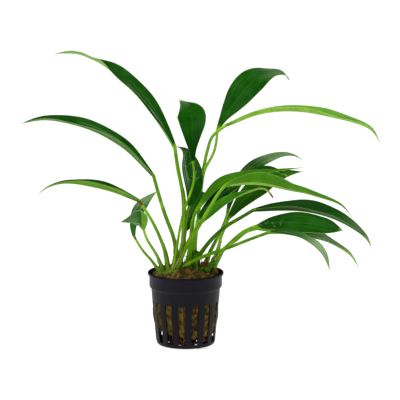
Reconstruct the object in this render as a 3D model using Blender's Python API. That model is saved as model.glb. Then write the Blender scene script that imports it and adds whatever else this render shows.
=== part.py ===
"""Potted anubias: a slotted net pot, its growing plug, the rhizomes, twenty leaves and some roots.

Lengths below are in millimetres and the scene is in metres, Z up. The middle of the pot's base is
the origin, the pot stands on z = 0, and the plant is seen from the -Y side.
"""

import math

import bmesh
import bpy
import numpy as np

MM = 0.001
GAP = 0.3

# Net pot: (radius, height) down the outside and up the inside, and its openings.
POT_COLUMNS = 60
FLOOR_THICKNESS = 1.2
POT_OUTER = (
    (19.1, 0.0), (21.3, 0.9), (22.0, 3.4), (24.8, 33.0), (25.5, 42.0), (26.9, 44.0),
    (26.9, 51.8), (28.1, 52.6), (28.1, 54.0), (27.5, 54.5), (26.7, 54.5),
)
POT_INNER = ((26.0, 53.6), (25.95, 44.5), (24.6, 42.0), (23.9, 33.0), (21.1, 3.4), (18.6, 1.2))
SLOT_LEVELS = (2, 3)
SLOT_COUNT = 15
SLOT_COLUMNS = 2
FIRST_RIB = 5.1
DRAIN_RADII = (14.0, 8.0)
DRAIN_COUNT = 5
DRAIN_COLUMNS = 8

# Growing plug: (radius, height) up its side, and the dome on top.
PLUG_COLUMNS = 30
PLUG_SIDE = ((21.0, 8.6), (21.15, 9.4), (23.45, 32.8), (24.2, 42.2), (25.5, 44.8), (25.6, 52.4))
DOME_TOP = 59.6
DOME_DROP = 5.6
DOME_REACH = 24.6
DOME_RINGS = (23.2, 18.0, 13.0, 8.0, 4.0)
LOW_LEFT_DROP = 1.6
LOW_SIDES_DROP = 1.5

# Rhizomes: points of the middle line and the radius there.
RHIZOMES = {
    "rhizome_front": (
        ((-20.8, -1.6, 52.2), 2.2), ((-19.5, -4.0, 52.6), 2.7), ((-16.5, -8.0, 53.3), 2.9),
        ((-12.5, -10.7, 54.2), 3.1), ((-9.5, -12.2, 54.9), 3.1), ((-6.0, -12.5, 55.8), 3.2),
        ((-2.5, -11.0, 56.6), 3.2), ((1.0, -8.5, 57.4), 3.2), ((3.4, -5.8, 57.6), 3.2),
        ((6.0, -2.5, 57.4), 3.1), ((6.2, 2.0, 57.3), 3.1), ((5.2, 6.0, 58.2), 3.1),
        ((7.4, 10.0, 59.6), 2.9), ((9.2, 12.2, 60.6), 2.2),
    ),
    "rhizome_middle": (
        ((-2.2, -4.1, 57.2), 2.0), ((-3.4, -3.2, 57.2), 2.7), ((-5.4, -1.4, 57.0), 3.0),
        ((-6.5, 0.8, 57.0), 3.1), ((-6.2, 3.8, 57.0), 3.1), ((-5.2, 8.2, 56.6), 3.0),
        ((-4.0, 12.4, 56.2), 3.0), ((-3.0, 15.6, 55.8), 2.2),
    ),
    "rhizome_right": (
        ((12.6, 11.4, 55.0), 2.0), ((15.0, 10.0, 55.2), 2.9), ((18.0, 7.2, 55.4), 3.1),
        ((19.6, 4.0, 55.6), 3.1), ((19.2, -0.6, 56.0), 3.1), ((21.0, -6.0, 56.0), 3.0),
        ((21.8, -8.4, 56.0), 2.0),
    ),
}

# Leaves: the stalk from its foot to the joint, the blade's middle line on from the joint to the tip,
# half widths of the blade at even steps, the way its upper side looks, and how far each half is
# folded up, in degrees. The radii are the stalk's at its foot and at the joint.
LEAVES = {
    "top_left": {
        "stalk": ((-6.1, 3.8, 60), (-2.5, 3.5, 73.5), (-1.5, 4, 96), (-2, 6, 110.5),
                  (-5.5, 9, 129), (-8, 14, 145)),
        "blade": ((-15.5, 20, 157), (-24.5, 27, 169), (-34, 34, 180), (-44.5, 43, 189),
                  (-55, 52, 197), (-65.5, 60, 203.5), (-73.5, 65, 206.5), (-83, 71, 209),
                  (-101, 80, 208)),
        "half_widths": (1.2, 4.8, 7.8, 9, 9, 7.2, 2.2, 2.6, 0),
        "faces": ((0.35, -0.3, 0.7), (0.35, -0.3, 0.7), (0.3, -0.35, 0.7), (0.15, 0.1, 0.9),
                  (0, 0.2, 1)),
        "folds": (26, 26, 28, 34, 44),
        "radii": (1.6, 1.35),
    },
    "mid_left": {
        "stalk": ((-6.4, 0.2, 59.5), (-8.5, -2, 78.5), (-13.5, -4, 93.5), (-18.5, -5, 109),
                  (-23.3, -6, 126.8)),
        "blade": ((-37.5, -5, 141.6), (-47, -4, 149.3), (-65.5, -1, 159.1), (-83.5, 3, 164.2),
                  (-103.5, 7, 166.5), (-121.5, 11, 162.9)),
        "half_widths": (1.2, 4.4, 6.6, 7.5, 7.2, 5.6, 3.4, 0),
        "faces": ((0, -0.1, 1), (0, -0.15, 1), (0, -0.3, 1), (0, -0.2, 1)),
        "folds": (34, 34, 32, 30),
        "radii": (1.6, 1.25),
    },
    "low_left": {
        "stalk": ((-12.5, -10.7, 57), (-15.4, -14, 73), (-21, -18, 89), (-27.5, -22, 102),
                  (-33.4, -24, 111.4)),
        "blade": ((-50.5, -31, 119.7), (-68.5, -37, 125), (-86, -43, 127.7),
                  (-98.5, -47, 124.5), (-105, -50, 119.5)),
        "half_widths": (1.2, 3.9, 5.7, 5.6, 3.4, 1.4, 0),
        "faces": ((0, -0.2, 1), (0, -0.15, 1), (0, 0, 1), (-0.3, 0, 0.8)),
        "folds": (38, 38, 32, 20),
        "radii": (1.5, 1.1),
    },
    "back_left": {
        "stalk": ((-19.5, -4, 55.5), (-25.5, -5, 64), (-31.6, -6, 71.5), (-37.5, -8, 82)),
        "blade": ((-38, -6, 89.5), (-34.7, 2, 98.3), (-30.1, 13, 104.6), (-21.6, 28, 109.6)),
        "half_widths": (1.2, 3.2, 5.2, 5.4, 4.1, 2, 0),
        "faces": ((-0.6, -0.8, 0.2), (-0.4, -0.9, 0.3), (-0.2, -0.8, 0.5)),
        "folds": (10, 10),
        "radii": (1.4, 1.1),
    },
    "front_left": {
        "stalk": ((-16.5, -8, 56.5), (-21.1, -16, 70), (-27.6, -25, 83), (-30, -32, 92)),
        "blade": ((-30.9, -35.5, 97.8), (-33, -40, 101.5), (-39, -46.5, 101.5), (-46, -53, 101)),
        "half_widths": (1.2, 3.5, 5.3, 5.2, 3.2, 1.5, 0),
        "faces": ((-0.2, -1, 0.1), (-0.2, -1, 0.3), (-0.1, -1, 0.5)),
        "folds": (8, 10),
        "radii": (1.4, 1.1),
    },
    "upright_front": {
        "stalk": ((-9.6, -12.1, 58), (-6.5, -13, 74), (-1, -12, 102), (6, -10, 123),
                  (5.5, -9, 137)),
        "blade": ((5, -6, 149.5), (5, -1, 160), (4.5, 9, 168.5), (0.4, 21, 174),
                  (-5, 33, 178.3)),
        "half_widths": (1.2, 3, 6.4, 9.8, 10.7, 7.8, 3.2, 0),
        "faces": ((0.05, -1, 0.1), (0, -1, 0.15), (-0.1, -0.9, 0.4), (-0.2, -0.7, 0.8)),
        "folds": (14, 14),
        "radii": (1.5, 1.1),
    },
    "upright_back": {
        "stalk": ((-5.1, 8.4, 59), (-1.5, 8.5, 70.5), (-0.5, 9, 87.5), (2.5, 9.5, 101)),
        "blade": ((5.8, 11, 113.5), (5.2, 14, 125), (2.6, 22, 134.6), (-1, 31, 140.5), (-8, 40, 142)),
        "half_widths": (1.2, 4.6, 6.8, 7.4, 6.2, 3.6, 1.4, 0),
        "faces": ((0, -1, 0.1), (0, -1, 0.15), (-0.2, -0.9, 0.5), (-0.4, 0.2, 0.8)),
        "folds": (12, 12),
        "radii": (1.5, 1.1),
    },
    "short_middle": {
        "stalk": ((-4, 12.8, 58.9), (-2.6, 13.4, 68), (-1.2, 13.4, 75), (-0.2, 12.7, 82)),
        "blade": ((1.2, 12.4, 88), (3.4, 12.9, 95.1), (6.3, 13.6, 101.8), (9.7, 14.2, 107.2),
                  (13, 15, 109.8), (16.2, 16.4, 109.7)),
        "half_widths": (1.2, 3.8, 4, 3.8, 3.8, 3.6, 3, 0),
        "faces": ((-0.3, -1, 0.1), (-0.3, -1, 0.2), (-0.3, -0.9, 0.4), (-0.2, -0.6, 0.8)),
        "folds": (10, 10),
        "radii": (1.5, 1.1),
    },
    "olive_right": {
        "stalk": ((6.1, 2.2, 60.5), (4, 0.5, 74), (5, -1, 91.5), (8, -3, 100.5)),
        "blade": ((13.5, -4, 108), (19.5, -5, 116), (27.5, -5, 122.5), (38.5, -4, 125.5),
                  (56, -2, 128.5), (86, 0, 132)),
        "half_widths": (1.2, 3, 4.2, 4.6, 4.4, 3.4, 2.2, 1.3, 0),
        "faces": ((-0.5, -0.6, 0.6), (-0.3, -0.6, 0.7), (0, -0.5, 0.9), (0, 0, 1)),
        "folds": (14, 14),
        "radii": (1.5, 1.1),
    },
    "bright_right": {
        "stalk": ((-6, -12.5, 59.5), (3.5, -19, 82), (14.5, -21, 100.5), (25, -23, 118),
                  (29, -24, 122.5)),
        "blade": ((38.5, -26, 124.5), (55, -29, 125), (75, -34, 121.5), (85, -37, 120),
                  (96, -41, 117.3), (107.5, -45, 113.9), (113.5, -47, 110), (118.5, -48, 104)),
        "half_widths": (1.2, 5.5, 8.3, 8.1, 5.3, 3.5, 2.3, 1.2, 0),
        "faces": ((0, 0.2, 1), (0, 0.25, 1), (0, 0.2, 1), (0.4, 0.1, 1)),
        "folds": (62, 60, 50),
        "radii": (1.5, 1.1),
    },
    "top_right": {
        "stalk": ((6.9, 10.3, 62.5), (7.6, 14.7, 78), (9.4, 17.8, 93.5), (11.8, 18.5, 114.5),
                  (14.2, 16.5, 128), (18, 16, 135.2), (21.6, 14.5, 143.7), (23.5, 14, 157.5)),
        "blade": ((28.5, 19, 166.5), (37, 26, 177.5), (46.5, 36, 188), (56.5, 46, 194.6),
                  (66, 55, 195.9), (74, 62, 194.5), (78.4, 66, 189.2)),
        "half_widths": (1.2, 3.2, 6.6, 9.7, 11, 10.7, 8.6, 5.2, 3.4, 1.6),
        "faces": ((-0.4, -1, 0.2), (-0.3, -1, 0.35), (-0.2, -0.9, 0.5), (0, -0.7, 0.9),
                  (0.9, 0.3, 0.4)),
        "folds": (10, 10),
        "radii": (1.5, 1.1),
    },
    "long_right": {
        "stalk": ((5.2, 6, 61.5), (4.7, 7.9, 70), (4.9, 12.5, 82.8), (6.6, 18.5, 100.9), (9.6, 21, 116.5),
                  (13.2, 20, 128.6), (15, 17.5, 138), (16.9, 14, 145.6), (19.8, 10, 153.6),
                  (29.6, 4.5, 162.5)),
        "blade": ((40, 2.5, 167.3), (51.5, 0.5, 171.9), (70, -1.5, 174.8), (90.5, -3.5, 173.6),
                  (107, -6, 170.3), (119.5, -8, 167.5), (131, -10, 163.5), (136.5, -12, 159.5),
                  (141, -13, 152)),
        "half_widths": (1.4, 2.3, 2.8, 3.7, 5, 5.1, 3.6, 2.6, 0),
        "faces": ((0, 0, 1), (0, 0, 1), (0, -0.2, 1), (0.1, -0.4, 1), (0.8, 0, 1)),
        "folds": (44, 42, 34),
        "radii": (1.5, 1.1),
    },
    "back_right_high": {
        "stalk": ((15, 10, 58.5), (19, 12, 68), (23, 13, 75.5), (28.5, 15, 88), (31, 17, 95)),
        "blade": ((36, 24, 109), (43, 33, 119), (51.5, 40, 126.2), (62, 49, 130.7), (74, 57, 132.9),
                  (84, 62, 131.2), (89.5, 65, 127.6)),
        "half_widths": (1.2, 3, 4.8, 6.4, 6.6, 6, 4.8, 2.8, 0),
        "faces": ((-0.6, -0.6, 0.6), (-0.5, -0.5, 0.8), (0, -0.35, 1), (0, -0.3, 1)),
        "folds": (12, 12),
        "radii": (1.5, 1.1),
    },
    "back_right_broad": {
        "stalk": ((19.5, 4.2, 59), (23.5, 6, 69.5), (26, 7, 78), (29, 8, 85.5), (31.5, 10, 91.5)),
        "blade": ((39, 14, 101), (48, 21, 109), (58.5, 30, 115.5), (73, 41, 120.5),
                  (89.5, 54, 120.5)),
        "half_widths": (1.2, 4, 6.8, 8, 6.4, 4.4, 2.4, 0),
        "faces": ((-0.3, -1, 0.3), (-0.2, -1, 0.4), (0, -0.9, 0.5), (0, -0.4, 0.9)),
        "folds": (10, 10),
        "radii": (1.5, 1.1),
    },
    "brown_tip": {
        "stalk": ((1, -8.5, 61), (4.5, -11, 78.5), (11.5, -15, 93.5)),
        "blade": ((19.5, -16, 102), (28, -17, 109), (38, -18, 114), (49, -20, 118.5),
                  (57.5, -22, 119.5), (63.5, -24, 113)),
        "half_widths": (1.2, 3.4, 4.4, 4.4, 3.6, 2.4, 1),
        "faces": ((-0.3, -0.7, 0.6), (-0.2, -0.6, 0.8), (0, 0, 1), (0.3, 0.4, 0.6)),
        "folds": (14, 14),
        "radii": (1.5, 1.1),
    },
    "back_right_dark": {
        "stalk": ((3.2, -5.9, 61), (5.5, -3.5, 74), (8.5, -4.5, 92.5)),
        "blade": ((15.5, -5, 102.5), (24.5, -2, 111), (35.5, 4, 119.5), (47.5, 12, 125),
                  (61, 21, 127.5), (71, 28, 124), (77.5, 32, 119.5)),
        "half_widths": (1.2, 3.4, 5.2, 6, 5.8, 4.6, 2.6, 0),
        "faces": ((-0.4, -0.8, 0.4), (-0.3, -0.8, 0.5), (0, -0.5, 0.9), (0.3, -0.5, 0.6)),
        "folds": (12, 12),
        "radii": (1.5, 1.1),
    },
    "long_dark_right": {
        "stalk": ((6, -2.5, 60.5), (15.5, -4.5, 75), (22.5, -6, 83), (30.5, -7, 90),
                  (37.5, -8, 94.5), (49.5, -9, 101.9)),
        "blade": ((62.5, -12, 103.2), (77.5, -16, 103.9), (91.5, -20, 102.8), (109, -26, 98.2),
                  (123, -31, 91.1), (130, -33, 85.6), (134, -35, 79.5)),
        "half_widths": (1.4, 5.2, 7.8, 9.4, 9.7, 8.6, 6.2, 3.6, 0),
        "faces": ((0, -0.1, 1), (0, -0.2, 1), (0.1, -0.2, 1), (0.5, -0.2, 1)),
        "folds": (32, 32),
        "radii": (1.8, 1.4),
    },
    "broad_low_right": {
        "stalk": ((20.9, -5.8, 60), (27, -11, 71.5), (35.5, -18, 82), (42.5, -22, 88.5),
                  (51.5, -27, 93.5)),
        "blade": ((62.5, -32, 96.5), (76.5, -38, 98), (90.5, -45, 98), (103, -51, 96.5),
                  (112.3, -55, 95.3)),
        "half_widths": (1.3, 6.8, 9.7, 10.2, 9.4, 6.8, 0),
        "faces": ((0, -0.7, 1), (0, -0.7, 1), (0.1, -0.8, 1), (0.2, -0.8, 1)),
        "folds": (4, 4),
        "radii": (1.5, 1.2),
    },
    "drooping_right": {
        "stalk": ((-2.5, -11, 60), (14.5, -24, 71), (30, -34, 78.5), (44.5, -45, 86.5),
                  (59, -53, 93.5)),
        "blade": ((69, -59, 95), (80, -64, 93.5), (88.5, -69, 90), (96.6, -73, 83),
                  (101.3, -76, 70.6)),
        "half_widths": (1.2, 4, 5, 5.2, 4.9, 3.6, 0),
        "faces": ((0, -0.3, 1), (0.2, -0.3, 1), (0.5, -0.3, 0.9), (0.8, -0.3, 0.6)),
        "folds": (10, 10),
        "radii": (1.4, 1.1),
    },
    "low_right": {
        "stalk": ((19.2, -0.6, 60), (28.9, -5, 73.2), (37, -9, 79.5), (44, -13, 86), (53, -16, 89.5)),
        "blade": ((65, -19, 89), (81.5, -23, 88), (97.5, -27, 84.9), (112.3, -31, 77.9),
                  (120, -33, 72.2), (124.6, -35, 65)),
        "half_widths": (1.2, 4, 6, 7.8, 7.4, 5.2, 4.2, 3.8, 0),
        "faces": ((0, -0.2, 1), (0.1, -0.3, 1), (0.3, -0.3, 1), (0.9, 0.3, 0.6)),
        "folds": (16, 16),
        "radii": (1.5, 1.1),
    },
}

STALK_SIDES = 6
STALK_RINGS = 9
BLADE_RINGS = 14
STALK_BASE_THICKNESS = 2.0
BLADE_THICKNESS = 0.8
TIP_THICKNESS = 0.4
TIP_HALF_WIDTH = 0.35
JOINT_GAP = 0.4
FOOT_GAP = 0.65

# Roots: points of the middle line, in the hollow between the plug and the pot's floor.
ROOT_RADIUS = 0.6
ROOTS = {
    "root_front": ((-4, -15, 7.2), (-3, -16.5, 5.0), (0.5, -17.2, 3.2), (6, -16.4, 2.4)),
    "root_left": ((-13, -6, 7.2), (-14.5, -7, 5.4), (-14, -10.5, 3.4), (-10.5, -13.5, 2.4)),
    "root_right": ((12, -9, 7.2), (13.6, -9.6, 5.2), (15.4, -7.4, 3.4), (16.6, -3, 2.4)),
    "root_back": ((3, 12, 7.2), (4.4, 13.6, 5.2), (1.5, 15.8, 3.2), (-4.5, 15.6, 2.4)),
}

COLOURS = {
    "pot_black": ((0.014, 0.014, 0.017, 1), 0.42),
    "plug_wool": ((0.11, 0.075, 0.02, 1), 0.95),
    "rhizome": ((0.16, 0.2, 0.05, 1), 0.6),
    "stalk_green": ((0.11, 0.27, 0.03, 1), 0.4),
    "leaf_dark": ((0.018, 0.075, 0.012, 1), 0.35),
    "leaf_light": ((0.12, 0.3, 0.03, 1), 0.38),
    "root_brown": ((0.2, 0.09, 0.025, 1), 0.7),
}
LIGHT_LEAVES = ("bright_right", "long_right", "olive_right")


def finish(name, shape, colour, sharp_angle=40.0):
    """Turn a bmesh in millimetres into a named object in metres with its own material."""
    bmesh.ops.recalc_face_normals(shape, faces=shape.faces)
    bmesh.ops.scale(shape, vec=(MM, MM, MM), verts=shape.verts)
    mesh = bpy.data.meshes.new(name)
    shape.to_mesh(mesh)
    shape.free()
    obj = bpy.data.objects.new(name, mesh)
    bpy.context.scene.collection.objects.link(obj)
    mesh.shade_smooth()
    mesh.set_sharp_from_angle(angle=math.radians(sharp_angle))
    base_colour, roughness = COLOURS[colour]
    material = bpy.data.materials.new(name)
    material.use_nodes = True
    shader = material.node_tree.nodes["Principled BSDF"]
    shader.inputs["Base Color"].default_value = base_colour
    shader.inputs["Roughness"].default_value = roughness
    material.diffuse_color = base_colour
    mesh.materials.append(material)
    return obj


def spline(points, count):
    """Even samples along a natural cubic through the points."""
    p = np.array(points, dtype=float)
    steps = np.linalg.norm(np.diff(p, axis=0), axis=1) ** 0.5
    knots = np.concatenate([[0.0], np.cumsum(steps)])
    n = len(p)
    a = np.eye(n)
    b = np.zeros_like(p)
    for i in range(1, n - 1):
        a[i, i - 1:i + 2] = steps[i - 1], 2 * (steps[i - 1] + steps[i]), steps[i]
        b[i] = 6 * ((p[i + 1] - p[i]) / steps[i] - (p[i] - p[i - 1]) / steps[i - 1])
    bend = np.linalg.solve(a, b)
    fine = []
    for x in np.linspace(0, knots[-1], 400):
        i = min(max(int(np.searchsorted(knots, x, side="right")) - 1, 0), n - 2)
        h = steps[i]
        left = knots[i + 1] - x
        right = x - knots[i]
        curve = (bend[i] * left ** 3 + bend[i + 1] * right ** 3) / (6 * h)
        line = (p[i] / h - bend[i] * h / 6) * left + (p[i + 1] / h - bend[i + 1] * h / 6) * right
        fine.append(curve + line)
    fine = np.array(fine)
    lengths = np.linalg.norm(np.diff(fine, axis=0), axis=1)
    travelled = np.concatenate([[0.0], np.cumsum(lengths)])
    even = np.linspace(0, travelled[-1], count)
    return np.stack([np.interp(even, travelled, fine[:, axis]) for axis in range(3)], axis=1)


def along(values, t):
    """Values given at even steps from 0 to 1, read smoothly at t."""
    v = np.array(values, dtype=float)
    if v.ndim == 1:
        v = v[:, None]
    x = t * (len(v) - 1)
    i = min(int(x), len(v) - 2)
    f = x - i
    before = v[i - 1] if i > 0 else 2 * v[0] - v[1]
    after = v[i + 2] if i + 2 < len(v) else 2 * v[-1] - v[-2]
    first = v[i + 1] - before
    second = 2 * before - 5 * v[i] + 4 * v[i + 1] - after
    third = 3 * (v[i] - v[i + 1]) + after - before
    return v[i] + 0.5 * f * (first + f * (second + f * third))


def unit(vector):
    """The vector at length one."""
    return vector / np.linalg.norm(vector)


def ring_loft(rings, thin=False):
    """Closed skin over rings of equal size, with a fan of triangles on each end.

    On a thin blade each panel is cut in two the same way on both sides, so a twist can't bring
    the two sides through each other.
    """
    shape = bmesh.new()
    rows = [[shape.verts.new(tuple(point)) for point in ring] for ring in rings]
    sides = len(rows[0])
    for lower, upper in zip(rows, rows[1:]):
        for k in range(sides):
            m = (k + 1) % sides
            if not thin:
                shape.faces.new((lower[k], lower[m], upper[m], upper[k]))
            elif k < sides // 2:
                shape.faces.new((lower[k], lower[m], upper[m]))
                shape.faces.new((lower[k], upper[m], upper[k]))
            else:
                shape.faces.new((lower[k], lower[m], upper[k]))
                shape.faces.new((lower[m], upper[m], upper[k]))
    for row in (rows[0], rows[-1]):
        hub = shape.verts.new(tuple(sum(np.array(v.co) for v in row) / sides))
        for k in range(sides):
            shape.faces.new((row[k], row[(k + 1) % sides], hub))
    return shape


def tube_rings(line, radii, sides, end_tangent=None):
    """Round rings square to a line, carried along it without twisting."""
    tangents = np.gradient(line, axis=0)
    if end_tangent is not None:
        tangents[-1] = end_tangent
    across = unit(np.cross(tangents[0], (0.31, 0.9, 0.2)))
    rings = []
    for point, tangent, radius in zip(line, tangents, radii):
        tangent = unit(tangent)
        across = unit(across - across.dot(tangent) * tangent)
        other = np.cross(tangent, across)
        turns = [2 * math.pi * k / sides for k in range(sides)]
        rings.append([point + radius * (math.cos(a) * across + math.sin(a) * other) for a in turns])
    return rings


def profile_shape(profile, columns, openings, first_angle=0.0):
    """Turn a closed profile round Z. Each opening (column, columns, outer, inner) cuts through."""
    shape = bmesh.new()
    rows = []
    for radius, height in profile:
        if radius == 0:
            rows.append([shape.verts.new((0, 0, height))] * columns)
            continue
        row = []
        for k in range(columns):
            angle = first_angle + 2 * math.pi * k / columns
            row.append(shape.verts.new((radius * math.sin(angle), -radius * math.cos(angle), height)))
        rows.append(row)
    left_out = set()
    for start, width, outer, inner in openings:
        for k in range(start, start + width):
            left_out.add((min(outer), k % columns))
            left_out.add((min(inner), k % columns))
    for i in range(len(rows) - 1):
        for k in range(columns):
            if (i, k) in left_out:
                continue
            m = (k + 1) % columns
            corners = [rows[i][k], rows[i][m], rows[i + 1][m], rows[i + 1][k]]
            shape.faces.new(list(dict.fromkeys(corners)))
    for start, width, outer, inner in openings:
        first = start % columns
        last = (start + width) % columns
        for k in (first, last):
            shape.faces.new((rows[outer[0]][k], rows[outer[1]][k], rows[inner[1]][k], rows[inner[0]][k]))
        for level in (0, 1):
            for k in range(start, start + width):
                m = (k + 1) % columns
                k = k % columns
                a, b = rows[outer[level]], rows[inner[level]]
                shape.faces.new((a[k], a[m], b[m], b[k]))
    return shape


def build_pot():
    """The pot in one piece: floor with drain slots, slotted side, step, collar and rolled lip."""
    under = [(0, 0.0), (DRAIN_RADII[1], 0.0), (DRAIN_RADII[0], 0.0)]
    inside = [(DRAIN_RADII[0], FLOOR_THICKNESS), (DRAIN_RADII[1], FLOOR_THICKNESS), (0, FLOOR_THICKNESS)]
    profile = under + list(POT_OUTER) + list(POT_INNER) + inside
    last = len(profile) - 1
    outer = (3 + SLOT_LEVELS[0], 3 + SLOT_LEVELS[1])
    inner_end = 3 + len(POT_OUTER) + len(POT_INNER) - 1
    inner = (inner_end - 1, inner_end - 2)
    pitch = POT_COLUMNS // SLOT_COUNT
    openings = []
    for k in range(SLOT_COUNT):
        openings.append((k * pitch + 1, SLOT_COLUMNS, outer, inner))
    drain_pitch = POT_COLUMNS // DRAIN_COUNT
    for k in range(DRAIN_COUNT):
        openings.append((k * drain_pitch + 2, DRAIN_COLUMNS, (1, 2), (last - 1, last - 2)))
    shape = profile_shape(profile, POT_COLUMNS, openings, math.radians(FIRST_RIB))
    return finish("net_pot", shape, "pot_black", 30.0)


def dome_height(x, y):
    """Top of the plug: a low cushion with soft lumps, lower on its left side and at both ends."""
    reach = math.hypot(x, y) / DOME_REACH
    left = min(max((-x - 6.0) / 14.0, 0.0), 1.0)
    side = max(abs(x) - 17.0, 0.0) / 8.0
    lumps = 0.35 * math.sin(0.55 * x + 1.3) * math.cos(0.47 * y - 0.4) + 0.2 * math.sin(1.1 * y + 0.6 * x)
    drop = DOME_DROP * reach ** 2 + LOW_LEFT_DROP * left ** 2 * (3 - 2 * left) + LOW_SIDES_DROP * side ** 2
    return DOME_TOP - drop + lumps * (1 - reach ** 4)


def build_plug(cutters):
    """The wool plug that fills the pot, with the beds that the rhizomes lie in cut out of it."""
    shape = bmesh.new()
    rows = []
    for radius, height in PLUG_SIDE:
        row = []
        for k in range(PLUG_COLUMNS):
            angle = math.radians(FIRST_RIB) + 2 * math.pi * k / PLUG_COLUMNS
            lump = 0.3 * math.sin(3 * angle) if height < 9 else 0.0
            x = radius * math.sin(angle)
            y = -radius * math.cos(angle)
            row.append(shape.verts.new((x, y, min(height + lump, dome_height(x, y) - 0.6))))
        rows.append(row)
    for radius in DOME_RINGS:
        row = []
        for k in range(PLUG_COLUMNS):
            angle = math.radians(FIRST_RIB) + 2 * math.pi * k / PLUG_COLUMNS
            x = radius * math.sin(angle)
            y = -radius * math.cos(angle)
            row.append(shape.verts.new((x, y, dome_height(x, y))))
        rows.append(row)
    for lower, upper in zip(rows, rows[1:]):
        for k in range(PLUG_COLUMNS):
            m = (k + 1) % PLUG_COLUMNS
            shape.faces.new((lower[k], lower[m], upper[m], upper[k]))
    for row, height in ((rows[0], 8.6), (rows[-1], dome_height(0, 0))):
        hub = shape.verts.new((0, 0, height))
        for k in range(PLUG_COLUMNS):
            shape.faces.new((row[k], row[(k + 1) % PLUG_COLUMNS], hub))
    plug = finish("stone_wool", shape, "plug_wool", 50.0)
    for cutter in cutters:
        cut = plug.modifiers.new("bed", "BOOLEAN")
        cut.operation = "DIFFERENCE"
        cut.solver = "EXACT"
        cut.object = cutter
    return plug


def rhizome_line(points, count):
    """Middle line of a rhizome and its radius, with the slight swellings between old leaf scars."""
    line = spline([point for point, _ in points], count)
    radii = []
    for k in range(count):
        t = k / (count - 1)
        plain = float(along([radius for _, radius in points], t)[0])
        radii.append(plain * (1 + 0.04 * math.sin(2.3 * t * (2 * len(points)))))
    return line, np.array(radii)


def build_rhizome(name, points):
    """One rhizome and the slightly larger copy that cuts its bed in the plug."""
    count = len(points) + 4
    line, radii = rhizome_line(points, count)
    finish(name, ring_loft(tube_rings(line, radii, 8)), "rhizome", 60.0)
    stretched = line.copy()
    stretched[0] += unit(line[0] - line[1]) * (GAP + 0.1)
    stretched[-1] += unit(line[-1] - line[-2]) * (GAP + 0.1)
    cutter = finish(name + "_bed", ring_loft(tube_rings(stretched, radii + GAP + 0.1, 8)), "rhizome")
    cutter.hide_render = True
    cutter.display_type = "WIRE"
    return cutter


def seat_height(x, y):
    """Height of the rhizome or the plug, whichever is higher, under a stalk's foot at (x, y)."""
    best = dome_height(x, y)
    for points in RHIZOMES.values():
        line, radii = rhizome_line(points, 60)
        away = np.hypot(line[:, 0] - x, line[:, 1] - y)
        k = int(away.argmin())
        if away[k] < radii[k] + 0.5:
            reach = max((radii[k] * 1.02) ** 2 - away[k] ** 2, 0.0)
            best = max(best, line[k, 2] + math.sqrt(reach))
    return best


def joint_direction(leaf):
    """Direction in which a stalk meets its blade."""
    line = spline(leaf["stalk"], 200)
    return unit(line[-1] - line[-2])


def build_stalk(name, leaf):
    """A leaf stalk: round, thinner towards the joint, its foot shaped to the rhizome it grows from."""
    line = spline(leaf["stalk"], 200)
    travelled = np.concatenate([[0.0], np.cumsum(np.linalg.norm(np.diff(line, axis=0), axis=1))])
    ends = np.linspace(0, travelled[-1] - JOINT_GAP, STALK_RINGS)
    line = np.stack([np.interp(ends, travelled, line[:, axis]) for axis in range(3)], axis=1)
    radii = np.linspace(leaf["radii"][0], leaf["radii"][1], STALK_RINGS)
    rings = tube_rings(line, radii, STALK_SIDES, joint_direction(leaf))
    for point in rings[0]:
        point[2] = seat_height(point[0], point[1]) + FOOT_GAP
    finish("stalk_" + name, ring_loft(rings), "stalk_green", 60.0)


def build_blade(name, leaf):
    """A leaf blade: folded along its middle line, thickest there and knife-thin at its margins."""
    mid = spline((leaf["stalk"][-1],) + leaf["blade"], BLADE_RINGS)
    tangents = np.gradient(mid, axis=0)
    tangents[0] = joint_direction(leaf)
    rings = []
    for k in range(BLADE_RINGS):
        t = k / (BLADE_RINGS - 1)
        tangent = unit(tangents[k])
        up = along(leaf["faces"], t)
        up = unit(up - up.dot(tangent) * tangent)
        side = np.cross(tangent, up)
        width = max(float(along(leaf["half_widths"], t)[0]), TIP_HALF_WIDTH)
        fold = math.radians(float(along(leaf["folds"], t)[0]))
        thick = BLADE_THICKNESS + (TIP_THICKNESS - BLADE_THICKNESS) * t
        if k == 0:
            thick = STALK_BASE_THICKNESS
        far = math.cos(fold) * side + math.sin(fold) * up
        near = -math.cos(fold) * side + math.sin(fold) * up
        far_up = math.cos(fold) * up - math.sin(fold) * side
        near_up = math.cos(fold) * up + math.sin(fold) * side
        point = mid[k]
        half = 0.5 * width
        inner = min(0.42 * thick, 0.8 * half / math.tan(fold))
        rings.append([
            point + width * far,
            point + half * far + inner * far_up,
            point + 0.5 * thick * up,
            point + half * near + inner * near_up,
            point + width * near,
            point + half * near - 0.42 * thick * near_up,
            point - 0.5 * thick * up,
            point + half * far - 0.42 * thick * far_up,
        ])
    colour = "leaf_light" if name in LIGHT_LEAVES else "leaf_dark"
    finish("blade_" + name, ring_loft(rings, thin=True), colour, 60.0)


def build_root(name, points):
    """A short root under the plug."""
    line = spline(points, 7)
    radii = np.linspace(ROOT_RADIUS, 0.6 * ROOT_RADIUS, 7)
    finish(name, ring_loft(tube_rings(line, radii, 5)), "root_brown", 60.0)


def main():
    for obj in list(bpy.data.objects):
        bpy.data.objects.remove(obj, do_unlink=True)
    build_pot()
    beds = [build_rhizome(name, points) for name, points in RHIZOMES.items()]
    build_plug(beds)
    for name, leaf in LEAVES.items():
        build_stalk(name, leaf)
        build_blade(name, leaf)
    for name, points in ROOTS.items():
        build_root(name, points)


main()
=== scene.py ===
"""Potted anubias: the finished plant, its wool plug and its net pot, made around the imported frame.

The tables below are in millimetres, as the plant was measured. The properties are in metres.
Colours of three numbers are screen colours from 0 to 255.
"""

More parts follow.
